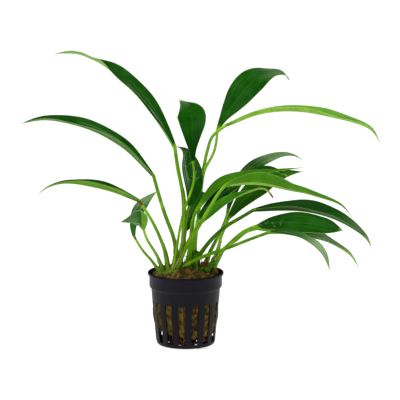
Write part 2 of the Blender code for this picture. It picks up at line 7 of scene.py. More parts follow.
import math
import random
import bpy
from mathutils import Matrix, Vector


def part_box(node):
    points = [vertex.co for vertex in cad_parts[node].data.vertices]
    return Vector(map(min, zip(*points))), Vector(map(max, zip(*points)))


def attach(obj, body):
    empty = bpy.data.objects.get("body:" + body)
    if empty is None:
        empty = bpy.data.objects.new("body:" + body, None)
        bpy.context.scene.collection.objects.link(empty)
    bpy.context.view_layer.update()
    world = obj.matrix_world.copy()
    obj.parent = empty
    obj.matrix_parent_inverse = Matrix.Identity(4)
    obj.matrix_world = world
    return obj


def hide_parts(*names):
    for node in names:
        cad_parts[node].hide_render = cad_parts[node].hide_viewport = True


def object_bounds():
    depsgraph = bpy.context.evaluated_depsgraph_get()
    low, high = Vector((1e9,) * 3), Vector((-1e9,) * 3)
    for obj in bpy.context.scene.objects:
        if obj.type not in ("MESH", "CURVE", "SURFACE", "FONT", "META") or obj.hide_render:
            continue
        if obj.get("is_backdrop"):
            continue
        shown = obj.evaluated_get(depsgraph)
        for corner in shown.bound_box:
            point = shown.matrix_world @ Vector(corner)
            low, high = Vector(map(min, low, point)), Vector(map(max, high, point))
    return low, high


bl_info = {
    "name": "Potted anubias",
    "version": (1, 0, 0),
    "blender": (4, 5, 0),
    "location": "View3D > Sidebar > Anubias",
    "description": "Builds a potted anubias: net pot, wool plug, rhizomes, leaves and roots",
    "category": "Add Mesh",
}

import bpy
import numpy as np
from mathutils import Vector, noise

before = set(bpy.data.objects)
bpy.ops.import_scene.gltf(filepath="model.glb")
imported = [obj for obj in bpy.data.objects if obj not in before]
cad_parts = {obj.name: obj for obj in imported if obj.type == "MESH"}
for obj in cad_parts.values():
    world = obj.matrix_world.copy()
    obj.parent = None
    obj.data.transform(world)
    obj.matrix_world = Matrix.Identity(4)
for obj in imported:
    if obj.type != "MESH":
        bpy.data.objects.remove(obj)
CAD_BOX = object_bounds()
MM = 0.001
POT_LOW, POT_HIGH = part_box("net_pot")
LIP_RADIUS = 0.5 * (POT_HIGH[0] - POT_LOW[0])

# Rhizomes: points of the middle line and the radius there.
RHIZOMES = {
    "rhizome_front": (((-20.8, -1.6, 52.2), 2.2), ((-19.5, -4, 52.6), 2.7),
                      ((-16.5, -8, 53.3), 2.9), ((-12.5, -10.7, 54.2), 3.1),
                      ((-9.5, -12.2, 54.9), 3.1), ((-6, -12.5, 55.8), 3.2),
                      ((-2.5, -11, 56.6), 3.2), ((1, -8.5, 57.4), 3.2), ((3.4, -5.8, 57.6), 3.2),
                      ((6, -2.5, 57.4), 3.1), ((6.2, 2, 57.3), 3.1), ((5.2, 6, 58.2), 3.1),
                      ((7.4, 10, 59.6), 2.9), ((9.2, 12.2, 60.6), 2.2)),
    "rhizome_middle": (((-2.2, -4.1, 57.2), 2), ((-3.4, -3.2, 57.2), 2.7), ((-5.4, -1.4, 57), 3),
                       ((-6.5, 0.8, 57), 3.1), ((-6.2, 3.8, 57), 3.1), ((-5.2, 8.2, 56.6), 3),
                       ((-4, 12.4, 56.2), 3), ((-3, 15.6, 55.8), 2.2)),
    "rhizome_right": (((12.6, 11.4, 55), 2), ((15, 10, 55.2), 2.9), ((18, 7.2, 55.4), 3.1),
                      ((19.6, 4, 55.6), 3.1), ((19.2, -0.6, 56), 3.1), ((21, -6, 56), 3),
                      ((21.8, -8.4, 56), 2)),
}

# Each leaf's shape:
#   stalk, blade   points of the stalk from its foot to the joint, and of the blade's middle line on
#                  from the joint to the tip
#   half_widths    half widths of the blade at even steps
#   faces          the way its upper side looks, at even steps
#   folds          how far each half is folded up, in degrees, at even steps
#   radii          the stalk's radius at its foot and at the joint
#   slim           the stalk's thickness as a share of its radii
#   sheath         the thin sleeve round the stalk's foot: how far up it reaches as a share of the
#                  stalk, how wide it stands off, and the direction that it opens to, in degrees
#   ripple         height of the margins' ripple, and how often they ripple
# and its looks, from 0 to 1 along the blade from the joint, and from 0 to 1 across it:
#   kind           kind of green, as in KINDS
#   browned        how far the tip has browned
#   lightened      how far the base is lightened
#   joint          length of the brown joint as a share of the stalk
#   tones          the stalk's tone at its foot and at the joint: below zero deeper, above paler
#   shine          gloss of the upper side, strength of the painted sheen streaks along it, and the
#                  middle and the half width of the band across the blade that they lie in
#   sheen          silvery sheen: where along the blade it starts, where it is full, its strength
#   crease_highlights  painted highlights along creases that slant with the side veins: strength,
#                      from where to where
#   deep           deeper green near the base: up to where, where it has gone, and how deep it is
#   under          colour of the underside, where it isn't that of the kind
#   under_streaks  strength of the pale streaks on the underside
#   rib            strength of the pale midrib on the upper side
#   margin         share and colour of the pale margin
#   turned         the blade's near part turns its paler side up right of this X
PLAIN_LEAF = {
    "radii": (1.5, 1.1), "slim": 1.0, "sheath": None, "browned": 0.02, "lightened": 0.05,
    "joint": 0.0, "tones": (0.0, 0.0), "shine": (0.05, 0.03, 0.5, 0.5), "sheen": None,
    "crease_highlights": None, "deep": None, "under": None, "under_streaks": 0.35, "rib": 0.55,
    "margin": (0.45, (140, 180, 84)), "turned": None, "slot": "leaf_dark",
}
LEAVES = {
    "top_left": {
        "stalk": ((-6.1, 3.8, 60), (-2.5, 3.5, 73.5), (-1.5, 4, 96), (-2, 6, 110.5), (-5.5, 9, 129),
                  (-8, 14, 145)),
        "blade": ((-15.5, 20, 157), (-24.5, 27, 169), (-34, 34, 180), (-44.5, 43, 189),
                  (-55, 52, 197), (-65.5, 60, 203.5), (-73.5, 65, 206.5), (-83, 71, 209),
                  (-101, 80, 208)),
        "half_widths": (1.2, 4.8, 7.8, 9, 9, 7.2, 2.2, 2.6, 0),
        "faces": ((0.35, -0.3, 0.7), (0.35, -0.3, 0.7), (0.3, -0.35, 0.7), (0.15, 0.1, 0.9),
                  (0, 0.2, 1)),
        "folds": (26, 26, 28, 34, 44), "radii": (1.6, 1.35), "kind": "dark", "ripple": (0.35, 3.1),
        "browned": 0, "lightened": 0.02, "shine": (0.05, 0.6, 0.52, 0.22), "under": (126, 176, 84),
        "tones": (0.3, -0.2), "sheath": (0.66, 0.45, 330),
    },
    "mid_left": {
        "stalk": ((-6.4, 0.2, 59.5), (-8.5, -2, 78.5), (-13.5, -4, 93.5), (-18.5, -5, 109),
                  (-23.3, -6, 126.8)),
        "blade": ((-37.5, -5, 141.6), (-47, -4, 149.3), (-65.5, -1, 159.1), (-83.5, 3, 164.2),
                  (-103.5, 7, 166.5), (-121.5, 11, 162.9)),
        "half_widths": (1.2, 4.4, 6.6, 7.5, 7.2, 5.6, 3.4, 0),
        "faces": ((0, -0.1, 1), (0, -0.15, 1), (0, -0.3, 1), (0, -0.2, 1)),
        "folds": (34, 34, 32, 30), "radii": (1.6, 1.25), "kind": "dark", "ripple": (0.3, 2.6),
        "browned": 0.01, "lightened": 0.02, "shine": (0.05, 0.75, 0.5, 0.24),
        "under": (76, 120, 56), "tones": (0.15, -0.2), "sheath": (0.3, 0.4, 20),
    },
    "low_left": {
        "stalk": ((-12.5, -10.7, 57), (-15.4, -14, 73), (-21, -18, 89), (-27.5, -22, 102),
                  (-33.4, -24, 111.4)),
        "blade": ((-50.5, -31, 119.7), (-68.5, -37, 125), (-86, -43, 127.7), (-98.5, -47, 124.5),
                  (-105, -50, 119.5)),
        "half_widths": (1.2, 3.9, 5.7, 5.6, 3.4, 1.4, 0),
        "faces": ((0, -0.2, 1), (0, -0.15, 1), (0, 0, 1), (-0.3, 0, 0.8)),
        "folds": (38, 38, 32, 20), "kind": "dark", "ripple": (0.25, 2.2), "lightened": 0.02,
        "joint": 0.07, "shine": (0.15, 0.2, 0.6, 0.4), "under": (102, 154, 38),
        "margin": (0.2, (140, 180, 84)), "tones": (-0.4, 0.4), "slim": 0.94,
        "sheath": (0.4, 0.5, 0), "under_streaks": 0.12,
    },
    "back_left": {
        "stalk": ((-19.5, -4, 55.5), (-25.5, -5, 64), (-31.6, -6, 71.5), (-37.5, -8, 82)),
        "blade": ((-38, -6, 89.5), (-34.7, 2, 98.3), (-30.1, 13, 104.6), (-21.6, 28, 109.6)),
        "half_widths": (1.2, 3.2, 5.2, 5.4, 4.1, 2, 0),
        "faces": ((-0.6, -0.8, 0.2), (-0.4, -0.9, 0.3), (-0.2, -0.8, 0.5)),
        "folds": (10, 10), "radii": (1.4, 1.1), "kind": "grey", "ripple": (0.3, 2),
        "lightened": 0.02, "joint": 0.07, "shine": (0.15, 0.5, 0.5, 0.5), "sheen": (0.4, 0.7, 0.5),
        "under": (104, 146, 72), "tones": (-0.2, 0.45), "slim": 0.8,
    },
    "front_left": {
        "stalk": ((-16.5, -8, 56.5), (-21.1, -16, 70), (-27.6, -25, 83), (-30, -32, 92)),
        "blade": ((-30.9, -35.5, 97.8), (-33, -40, 101.5), (-39, -46.5, 101.5), (-46, -53, 101)),
        "half_widths": (1.2, 3.5, 5.3, 5.2, 3.2, 1.5, 0),
        "faces": ((-0.2, -1, 0.1), (-0.2, -1, 0.3), (-0.1, -1, 0.5)),
        "folds": (8, 10), "radii": (1.4, 1.1), "kind": "grey", "ripple": (0.3, 1.8),
        "browned": 0.03, "lightened": 0.1, "shine": (0.15, 0.1, 0.5, 0.5), "sheen": (0.3, 0.7, 0.2),
        "under": (74, 124, 48), "margin": (0.75, (190, 216, 176)), "turned": -31.4,
        "tones": (0, 0.35), "slim": 0.87, "sheath": (0.3, 0.4, 60),
    },
    "upright_front": {
        "stalk": ((-9.6, -12.1, 58), (-6.5, -13, 74), (-1, -12, 102), (6, -10, 123),
                  (5.5, -9, 137)),
        "blade": ((5, -6, 149.5), (5, -1, 160), (4.5, 9, 168.5), (0.4, 21, 174), (-5, 33, 178.3)),
        "half_widths": (1.2, 3, 6.4, 9.8, 10.7, 7.8, 3.2, 0),
        "faces": ((0.05, -1, 0.1), (0, -1, 0.15), (-0.1, -0.9, 0.4), (-0.2, -0.7, 0.8)),
        "folds": (14, 14), "kind": "dark", "ripple": (0.4, 1.6), "lightened": 0.02,
        "shine": (0.12, 0, 0.3, 0.3), "sheen": (0.7, 0.97, 0.3), "deep": (0.05, 0.6, 0.6),
        "slim": 0.72, "sheath": (0.3, 0.4, 40), "rib": 0.15,
    },
    "upright_back": {
        "stalk": ((-5.1, 8.4, 59), (-1.5, 8.5, 70.5), (-0.5, 9, 87.5), (2.5, 9.5, 101)),
        "blade": ((5.8, 11, 113.5), (5.2, 14, 125), (2.6, 22, 134.6), (-1, 31, 140.5),
                  (-8, 40, 142)),
        "half_widths": (1.2, 4.6, 6.8, 7.4, 6.2, 3.6, 1.4, 0),
        "faces": ((0, -1, 0.1), (0, -1, 0.15), (-0.2, -0.9, 0.5), (-0.4, 0.2, 0.8)),
        "folds": (12, 12), "kind": "dark", "ripple": (0.5, 2.4), "lightened": 0.02,
        "shine": (0.3, 0.6, 0.8, 0.25), "sheen": (0.85, 0.97, 0.5), "crease_highlights": (0.3, 0.3, 0.9),
        "tones": (0.3, 0.1),
    },
    "short_middle": {
        "stalk": ((-4, 12.8, 58.9), (-2.6, 13.4, 68), (-1.2, 13.4, 75), (-0.2, 12.7, 82)),
        "blade": ((1.2, 12.4, 88), (3.4, 12.9, 95.1), (6.3, 13.6, 101.8), (9.7, 14.2, 107.2),
                  (13, 15, 109.8), (16.2, 16.4, 109.7)),
        "half_widths": (1.2, 3.8, 4, 3.8, 3.8, 3.6, 3, 0),
        "faces": ((-0.3, -1, 0.1), (-0.3, -1, 0.2), (-0.3, -0.9, 0.4), (-0.2, -0.6, 0.8)),
        "folds": (10, 10), "kind": "mid", "ripple": (0.2, 1.4), "shine": (0.3, 0.25, 0.5, 0.4),
        "crease_highlights": (0.3, 0.1, 0.8), "deep": (0.1, 0.6, 0.7), "tones": (0.1, 0.3),
    },
    "olive_right": {
        "stalk": ((6.1, 2.2, 60.5), (4, 0.5, 74), (5, -1, 91.5), (8, -3, 100.5)),
        "blade": ((13.5, -4, 108), (19.5, -5, 116), (27.5, -5, 122.5), (38.5, -4, 125.5),
                  (56, -2, 128.5), (86, 0, 132)),
        "half_widths": (1.2, 3, 4.2, 4.6, 4.4, 3.4, 2.2, 1.3, 0),
        "faces": ((-0.5, -0.6, 0.6), (-0.3, -0.6, 0.7), (0, -0.5, 0.9), (0, 0, 1)),
        "folds": (14, 14), "kind": "olive", "ripple": (0.2, 2.2), "lightened": 0.1,
        "tones": (-0.2, 0.1), "slot": "leaf_light",
    },
    "bright_right": {
        "stalk": ((-6, -12.5, 59.5), (3.5, -19, 82), (14.5, -21, 100.5), (25, -23, 118),
                  (29, -24, 122.5)),
        "blade": ((38.5, -26, 124.5), (55, -29, 125), (75, -34, 121.5), (85, -37, 120),
                  (96, -41, 117.3), (107.5, -45, 113.9), (113.5, -47, 110), (118.5, -48, 104)),
        "half_widths": (1.2, 5.5, 8.3, 8.1, 5.3, 3.5, 2.3, 1.2, 0),
        "faces": ((0, 0.2, 1), (0, 0.25, 1), (0, 0.2, 1), (0.4, 0.1, 1)),
        "folds": (62, 60, 50), "kind": "bright", "ripple": (0.25, 2.6),
        "shine": (0.25, 0.1, 0.5, 0.5), "deep": (0.3, 0.62, 0.85), "under": (70, 134, 16),
        "tones": (-0.4, 0.25), "sheath": (0.42, 0.6, 60), "under_streaks": 0.12,
        "slot": "leaf_light",
    },
    "top_right": {
        "stalk": ((6.9, 10.3, 62.5), (7.6, 14.7, 78), (9.4, 17.8, 93.5), (11.8, 18.5, 114.5),
                  (14.2, 16.5, 128), (18, 16, 135.2), (21.6, 14.5, 143.7), (23.5, 14, 157.5)),
        "blade": ((28.5, 19, 166.5), (37, 26, 177.5), (46.5, 36, 188), (56.5, 46, 194.6),
                  (66, 55, 195.9), (74, 62, 194.5), (78.4, 66, 189.2)),
        "half_widths": (1.2, 3.2, 6.6, 9.7, 11, 10.7, 8.6, 5.2, 3.4, 1.6),
        "faces": ((-0.4, -1, 0.2), (-0.3, -1, 0.35), (-0.2, -0.9, 0.5), (0, -0.7, 0.9),
                  (0.9, 0.3, 0.4)),
        "folds": (10, 10), "kind": "dark", "ripple": (0.4, 2.2), "sheen": (0.55, 0.9, 0.3),
        "tones": (0.15, 0.4), "slim": 0.88, "rib": 0.15,
    },
    "long_right": {
        "stalk": ((5.2, 6, 61.5), (4.7, 7.9, 70), (4.9, 12.5, 82.8), (6.6, 18.5, 100.9),
                  (9.6, 21, 116.5), (13.2, 20, 128.6), (15, 17.5, 138), (16.9, 14, 145.6),
                  (19.8, 10, 153.6), (29.6, 4.5, 162.5)),
        "blade": ((40, 2.5, 167.3), (51.5, 0.5, 171.9), (70, -1.5, 174.8), (90.5, -3.5, 173.6),
                  (107, -6, 170.3), (119.5, -8, 167.5), (131, -10, 163.5), (136.5, -12, 159.5),
                  (141, -13, 152)),
        "half_widths": (1.4, 2.3, 2.8, 3.7, 5, 5.1, 3.6, 2.6, 0),
        "faces": ((0, 0, 1), (0, 0, 1), (0, -0.2, 1), (0.1, -0.4, 1), (0.8, 0, 1)),
        "folds": (44, 42, 34), "kind": "fresh", "ripple": (0.3, 3), "shine": (0.4, 0.85, 0.34, 0.3),
        "sheen": (0.3, 0.8, 0.15), "deep": (0.05, 0.35, 0.4), "margin": (0.8, (170, 204, 104)),
        "tones": (0, 0.4), "slot": "leaf_light",
    },
    "back_right_high": {
        "stalk": ((15, 10, 58.5), (19, 12, 68), (23, 13, 75.5), (28.5, 15, 88), (31, 17, 95)),
        "blade": ((36, 24, 109), (43, 33, 119), (51.5, 40, 126.2), (62, 49, 130.7), (74, 57, 132.9),
                  (84, 62, 131.2), (89.5, 65, 127.6)),
        "half_widths": (1.2, 3, 4.8, 6.4, 6.6, 6, 4.8, 2.8, 0),
        "faces": ((-0.6, -0.6, 0.6), (-0.5, -0.5, 0.8), (0, -0.35, 1), (0, -0.3, 1)),
        "folds": (12, 12), "kind": "grey", "ripple": (0.3, 2.4), "lightened": 0.04,
        "shine": (0.3, 0.3, 0.5, 0.5), "sheen": (0.5, 0.68, 0.5), "deep": (0.42, 0.62, 0.85),
        "tones": (0, 0.25), "slim": 0.88, "sheath": (0.5, 0.6, 150),
    },
    "back_right_broad": {
        "stalk": ((19.5, 4.2, 59), (23.5, 6, 69.5), (26, 7, 78), (29, 8, 85.5), (31.5, 10, 91.5)),
        "blade": ((39, 14, 101), (48, 21, 109), (58.5, 30, 115.5), (73, 41, 120.5),
                  (89.5, 54, 120.5)),
        "half_widths": (1.2, 4, 6.8, 8, 6.4, 4.4, 2.4, 0),
        "faces": ((-0.3, -1, 0.3), (-0.2, -1, 0.4), (0, -0.9, 0.5), (0, -0.4, 0.9)),
        "folds": (10, 10), "kind": "mid", "ripple": (0.4, 2), "lightened": 0.04,
        "shine": (0.1, 0.05, 0.4, 0.4), "deep": (0.7, 1.3, 0.42), "tones": (0.3, 0.2), "slim": 0.88,
        "sheath": (0.55, 0.6, 330),
    },
    "brown_tip": {
        "stalk": ((1, -8.5, 61), (4.5, -11, 78.5), (11.5, -15, 93.5)),
        "blade": ((19.5, -16, 102), (28, -17, 109), (38, -18, 114), (49, -20, 118.5),
                  (57.5, -22, 119.5), (63.5, -24, 113)),
        "half_widths": (1.2, 3.4, 4.4, 4.4, 3.6, 2.4, 1),
        "faces": ((-0.3, -0.7, 0.6), (-0.2, -0.6, 0.8), (0, 0, 1), (0.3, 0.4, 0.6)),
        "folds": (14, 14), "kind": "mid", "ripple": (0.2, 2), "browned": 0.1,
        "tones": (-0.35, 0.35),
    },
    "back_right_dark": {
        "stalk": ((3.2, -5.9, 61), (5.5, -3.5, 74), (8.5, -4.5, 92.5)),
        "blade": ((15.5, -5, 102.5), (24.5, -2, 111), (35.5, 4, 119.5), (47.5, 12, 125),
                  (61, 21, 127.5), (71, 28, 124), (77.5, 32, 119.5)),
        "half_widths": (1.2, 3.4, 5.2, 6, 5.8, 4.6, 2.6, 0),
        "faces": ((-0.4, -0.8, 0.4), (-0.3, -0.8, 0.5), (0, -0.5, 0.9), (0.3, -0.5, 0.6)),
        "folds": (12, 12), "kind": "dark", "ripple": (0.3, 2), "lightened": 0.04,
        "shine": (0.4, 0.4, 0.4, 0.3), "tones": (-0.25, 0.35),
    },
    "long_dark_right": {
        "stalk": ((6, -2.5, 60.5), (15.5, -4.5, 75), (22.5, -6, 83), (30.5, -7, 90),
                  (37.5, -8, 94.5), (49.5, -9, 101.9)),
        "blade": ((62.5, -12, 103.2), (77.5, -16, 103.9), (91.5, -20, 102.8), (109, -26, 98.2),
                  (123, -31, 91.1), (130, -33, 85.6), (134, -35, 79.5)),
        "half_widths": (1.4, 5.2, 7.8, 9.4, 9.7, 8.6, 6.2, 3.6, 0),
        "faces": ((0, -0.1, 1), (0, -0.2, 1), (0.1, -0.2, 1), (0.5, -0.2, 1)),
        "folds": (32, 32), "radii": (1.8, 1.4), "kind": "dark", "ripple": (0.35, 2.8),
        "browned": 0.03, "lightened": 0.03, "sheen": (0.65, 0.85, 0.3), "deep": (0.4, 0.7, 0.35),
        "under": (22, 78, 10), "tones": (-0.52, -0.72), "slim": 0.92, "under_streaks": 0.12,
    },
    "broad_low_right": {
        "stalk": ((20.9, -5.8, 60), (27, -11, 71.5), (35.5, -18, 82), (42.5, -22, 88.5),
                  (51.5, -27, 93.5)),
        "blade": ((62.5, -32, 96.5), (76.5, -38, 98), (90.5, -45, 98), (103, -51, 96.5),
                  (112.3, -55, 95.3)),
        "half_widths": (1.3, 6.8, 9.7, 10.2, 9.4, 6.8, 0),
        "faces": ((0, -0.7, 1), (0, -0.7, 1), (0.1, -0.8, 1), (0.2, -0.8, 1)),
        "folds": (4, 4), "radii": (1.5, 1.2), "kind": "dark", "ripple": (0.45, 2.2),
        "browned": 0.015, "lightened": 0.03, "shine": (0.1, 0.05, 0.5, 0.5),
        "crease_highlights": (0.3, 0, 0.36), "sheath": (0.3, 0.5, 200),
    },
    "drooping_right": {
        "stalk": ((-2.5, -11, 60), (14.5, -24, 71), (30, -34, 78.5), (44.5, -45, 86.5),
                  (59, -53, 93.5)),
        "blade": ((69, -59, 95), (80, -64, 93.5), (88.5, -69, 90), (96.6, -73, 83),
                  (101.3, -76, 70.6)),
        "half_widths": (1.2, 4, 5, 5.2, 4.9, 3.6, 0),
        "faces": ((0, -0.3, 1), (0.2, -0.3, 1), (0.5, -0.3, 0.9), (0.8, -0.3, 0.6)),
        "folds": (10, 10), "radii": (1.4, 1.1), "kind": "grey", "ripple": (0.3, 1.8),
        "browned": 0.03, "shine": (0.2, 0.35, 0.5, 0.5), "sheen": (0.42, 0.7, 0.85),
        "deep": (0.25, 0.5, 0.6), "tones": (-0.45, -0.6),
    },
    "low_right": {
        "stalk": ((19.2, -0.6, 60), (28.9, -5, 73.2), (37, -9, 79.5), (44, -13, 86),
                  (53, -16, 89.5)),
        "blade": ((65, -19, 89), (81.5, -23, 88), (97.5, -27, 84.9), (112.3, -31, 77.9),
                  (120, -33, 72.2), (124.6, -35, 65)),
        "half_widths": (1.2, 4, 6, 7.8, 7.4, 5.2, 4.2, 3.8, 0),
        "faces": ((0, -0.2, 1), (0.1, -0.3, 1), (0.3, -0.3, 1), (0.9, 0.3, 0.6)),
        "folds": (16, 16), "kind": "grey", "ripple": (0.4, 2.2), "browned": 0.03,
        "shine": (0.3, 0.8, 0.5, 0.5), "sheen": (0.4, 0.65, 0.85), "deep": (0.3, 0.5, 0.5),
        "tones": (-0.25, 0.1), "slim": 0.85, "sheath": (0.3, 0.4, 60),
    },
}
LEAVES = {name: {**PLAIN_LEAF, **leaf} for name, leaf in LEAVES.items()}

# Kinds of green: upper side in shade and at its lightest, underside, roughness of the upper side.
KINDS = {
    "dark": ((8, 58, 2), (30, 96, 10), (128, 178, 56), 0.3),
    "grey": ((22, 74, 14), (56, 116, 34), (134, 176, 76), 0.28),
    "mid": ((34, 98, 6), (74, 138, 20), (130, 178, 60), 0.34),
    "olive": ((46, 98, 4), (74, 128, 12), (120, 166, 40), 0.36),
    "bright": ((50, 112, 8), (84, 146, 22), (116, 168, 34), 0.36),
    "fresh": ((74, 140, 12), (112, 170, 28), (140, 192, 60), 0.34),
}
# Colour of the painted sheen: the streaks and the crease highlights laid on a blade's upper side.
PAINTED_SHEEN_COLOUR = (150, 176, 138)

# Roots: points of the middle line, in the hollow between the plug and the pot's floor.
ROOT_RADIUS = 0.6
ROOTS = {
    "root_front": ((-4, -15, 7.2), (-3, -16.5, 5.0), (0.5, -17.2, 3.2), (6, -16.4, 2.4)),
    "root_left": ((-13, -6, 7.2), (-14.5, -7, 5.4), (-14, -10.5, 3.4), (-10.5, -13.5, 2.4)),
    "root_right": ((12, -9, 7.2), (13.6, -9.6, 5.2), (15.4, -7.4, 3.4), (16.6, -3, 2.4)),
    "root_back": ((3, 12, 7.2), (4.4, 13.6, 5.2), (1.5, 15.8, 3.2), (-4.5, 15.6, 2.4)),
}
GROUND_ROOT = ((6.5, -20.6, 0.9), (8.5, -19.9, 0.35), (11.0, -19.6, 0.32), (14.0, -19.3, 0.32),
               (17.5, -18.3, 0.3))
# Thin roots: look, number, how far from the middle they start, radius at start and end, how far
# they wander at a step, and the share of them that stays in front.
THIN_ROOTS = {
    "thin_roots": ("root_brown", 16, (14.0, 19.0), (0.32, 0.16), 2.2, 0.75),
    "old_roots": ("root_dark", 90, (3.0, 17.0), (0.6, 0.4), 4.5, 0.0),
}

# Stumps of old leaves and a bud: where they start and end, and their radius there.
STUMPS = {
    "stump_left": ((7.4, -12.0, 57.0), (6.4, -7.5, 71.0), 2.3, 1.5),
    "stump_middle": ((11.0, -11.0, 57.0), (15.5, -7.0, 61.0), 2.2, 1.2),
    "stump_right": ((14.8, -11.0, 56.5), (26.0, -4.5, 69.5), 2.4, 1.3),
    "bud": ((7.2, 3.0, 58.0), (8.2, 4.0, 68.5), 2.2, 1.9),
}
# Brown shreds of old sheaths: middle and spread of each tuft, and how many.
SHREDS = (
    ((13.5, -9.0, 61.5), (2.6, 1.2, 1.4), 26),
    ((1.5, -3.0, 63.0), (2.0, 1.5, 1.4), 12),
)

# Net pot: (radius, height) from the floor's middle out, up the outside, over the lip and down
# inside. Its columns are counted round from the first rib, which is turned by some degrees.
POT_COLUMNS = 180
POT_PROFILE = (
    (2.0, 0.0), (8.0, 0.0), (14.0, 0.0), (19.1, 0.0), (20.4, 0.25), (21.3, 0.9), (21.6, 1.8),
    (22.0, 3.4), (24.8, 33.0), (25.45, 41.6), (25.7, 42.3), (26.7, 43.6), (26.9, 44.3),
    (26.9, 51.5), (27.1, 51.9), (27.9, 52.4), (28.1, 52.9), (28.1, 53.8), (27.8, 54.3),
    (27.4, 54.5), (26.7, 54.5), (26.2, 54.2), (26.0, 53.6), (25.95, 44.5), (25.7, 43.6),
    (24.7, 42.2), (23.9, 33.0), (21.1, 3.4), (20.6, 1.9), (18.6, 1.2), (14.0, 1.2), (8.0, 1.2),
    (2.0, 1.2),
)
FIRST_RIB = 5.1
SLOT_COUNT = 15
SLOT_PITCH = 360 / SLOT_COUNT
SLOT_COLUMNS = 6
SLOT_BOTTOM, SLOT_TOP = 3.4, 33.0
SIDE_RADIUS = 20.0
DRAIN_COUNT = 5
DRAIN_RADII = (8.0, 14.0)
DRAIN_START, DRAIN_COLUMNS = 6, 24
FLOOR_TOP = 1.3
# Points nearer than this are merged where a wrapped sheet meets itself, in metres.
SEAM_GAP = 2e-6

# Growing plug: (radius, height) from the middle underneath, up its side and over the top.
PLUG_PROFILE = (
    (0.0, 8.8), (8.0, 8.7), (15.0, 8.5), (20.0, 8.3), (21.2, 9.2), (21.6, 12.0), (23.3, 30.0),
    (23.5, 33.5), (24.1, 42.0), (25.2, 44.8), (25.5, 50.0), (25.3, 51.6), (24.2, 53.2),
    (21.8, 55.2), (18.0, 56.6), (13.0, 58.0), (8.0, 59.0), (4.0, 59.5), (0.0, 59.6),
)
DOME_TOP = 59.6
DOME_DROP = 5.6
DOME_REACH = 24.6
LOW_LEFT_DROP = 1.6
LOW_SIDES_DROP = 1.5
PLUG_PANELS = (170, 300)
FIBRE_STEPS = (0.0, 0.25, 0.5, 0.75, 1.0)
SLOT_FIBRE_TOP = 33.2
TOP_FIBRE_REACH = 24.0

# Stalks, sheaths and blades: how far a stalk runs into the rhizome and into the blade, how much its
# foot swells and over what length, a sheath's wall, and the panels along and across each.
STALK_INSETS = (1.6, 0.8)
FOOT_SWELL, SWELL_LENGTH = 0.42, 5.0
STALK_STEPS, STALK_SIDES = 64, 16
SHEATH_WALL = 0.2
SHEATH_PANELS = (40, 14)
BLADE_PANELS = (90, 24)

# Floor, in metres, and the strength of its glow.
FLOOR_SIZE, FLOOR_DEPTH = 16.0, 0.0004
FLOOR_GLOW = 0.93

# Camera and lights, in metres: each light's place, target, size and power.
CAMERA_HEIGHT = 0.348
CAMERA_TARGET = (0.0106, 0.0, 0.1079)
FOCAL_LENGTH = 174.0
LIGHTS = {
    "overhead": ((-0.1, -0.25, 1.25), (0.02, 0.0, 0.1), (1.1, 0.8), 13.0),
    "key": ((-0.9, -1.0, 1.0), (0.02, 0.0, 0.1), (0.6, 0.6), 8.0),
    "side": ((1.3, -0.3, 0.5), (0.02, 0.0, 0.1), (0.5, 0.8), 3.0),
    "left back": ((-1.75, 0.95, 0.3), (0.0, 0.0, 0.05), (1.3, 0.9), 3.0),
    "right back": ((1.75, 0.95, 0.3), (0.0, 0.0, 0.05), (1.3, 0.9), 3.0),
}


def linear(red, green, blue):
    """A screen colour from 0 to 255 as the linear colour that a shader takes."""
    parts = []
    for value in (red, green, blue):
        c = value / 255.0
        parts.append(c / 12.92 if c <= 0.04045 else ((c + 0.055) / 1.055) ** 2.4)
    return (*parts, 1.0)


def dimmed(colour, share=1.0):
    """A linear colour at a share of its strength, with its alpha."""
    return tuple(share * c for c in colour[:3]) + (1.0,)


class PotSettings(bpy.types.PropertyGroup):
    """Sizes and finish of the net pot."""

    lip_radius: bpy.props.FloatProperty(
        name="Lip radius", description="Outer radius of the rolled lip",
        default=LIP_RADIUS, min=0.015, max=0.06, unit="LENGTH", precision=4)
    edge_round: bpy.props.FloatProperty(
        name="Edge rounding", description="Rounding of the slot edges",
        default=0.00012, min=0.0, max=0.0004, unit="LENGTH", precision=5)
    colour: bpy.props.FloatVectorProperty(
        name="Plastic", description="Colour of the moulded plastic",
        default=(0.0016, 0.001, 0.0036), size=3, min=0.0, max=1.0, subtype="COLOR")


class PlugSettings(bpy.types.PropertyGroup):
    """Look of the wool plug."""

    fibres: bpy.props.IntProperty(
        name="Fibres", description="Number of loose fibres on the plug",
        default=2200, min=0, max=4000)
    fibre_radius: bpy.props.FloatProperty(
        name="Fibre radius", description="Half the thickness of a loose fibre",
        default=0.00009, min=0.00002, max=0.0004, unit="LENGTH", precision=5)
    light: bpy.props.FloatVectorProperty(
        name="Light wool", description="Colour of the wool where it is lightest",
        default=linear(130, 102, 38)[:3], size=3, min=0.0, max=1.0, subtype="COLOR")
    # The dark wool colour is also laid on as painted shade between the clumps and in the clefts on
    # top.
    dark: bpy.props.FloatVectorProperty(
        name="Dark wool", description="Colour of the wool in its folds",
        default=linear(32, 22, 4)[:3], size=3, min=0.0, max=1.0, subtype="COLOR")


class LeafSettings(bpy.types.PropertyGroup):
    """Thickness and colours that all leaves share."""

    blade_thickness: bpy.props.FloatProperty(
        name="Blade thickness", description="Thickness of a blade between midrib and margin",
        default=0.00046, min=0.0001, max=0.002, unit="LENGTH", precision=5)
    margin_thickness: bpy.props.FloatProperty(
        name="Margin thickness", description="Thickness of a blade at its margin",
        default=0.00026, min=0.0001, max=0.001, unit="LENGTH", precision=5)
    veins: bpy.props.IntProperty(
        name="Side veins", description="Side veins along a blade 100 mm long",
        default=46, min=4, max=120)
    stalk: bpy.props.FloatVectorProperty(
        name="Stalk", description="Colour of the stalks",
        default=linear(108, 172, 10)[:3], size=3, min=0.0, max=1.0, subtype="COLOR")
    brown: bpy.props.FloatVectorProperty(
        name="Brown", description="Colour of the browned tips and joints",
        default=linear(112, 48, 12)[:3], size=3, min=0.0, max=1.0, subtype="COLOR")


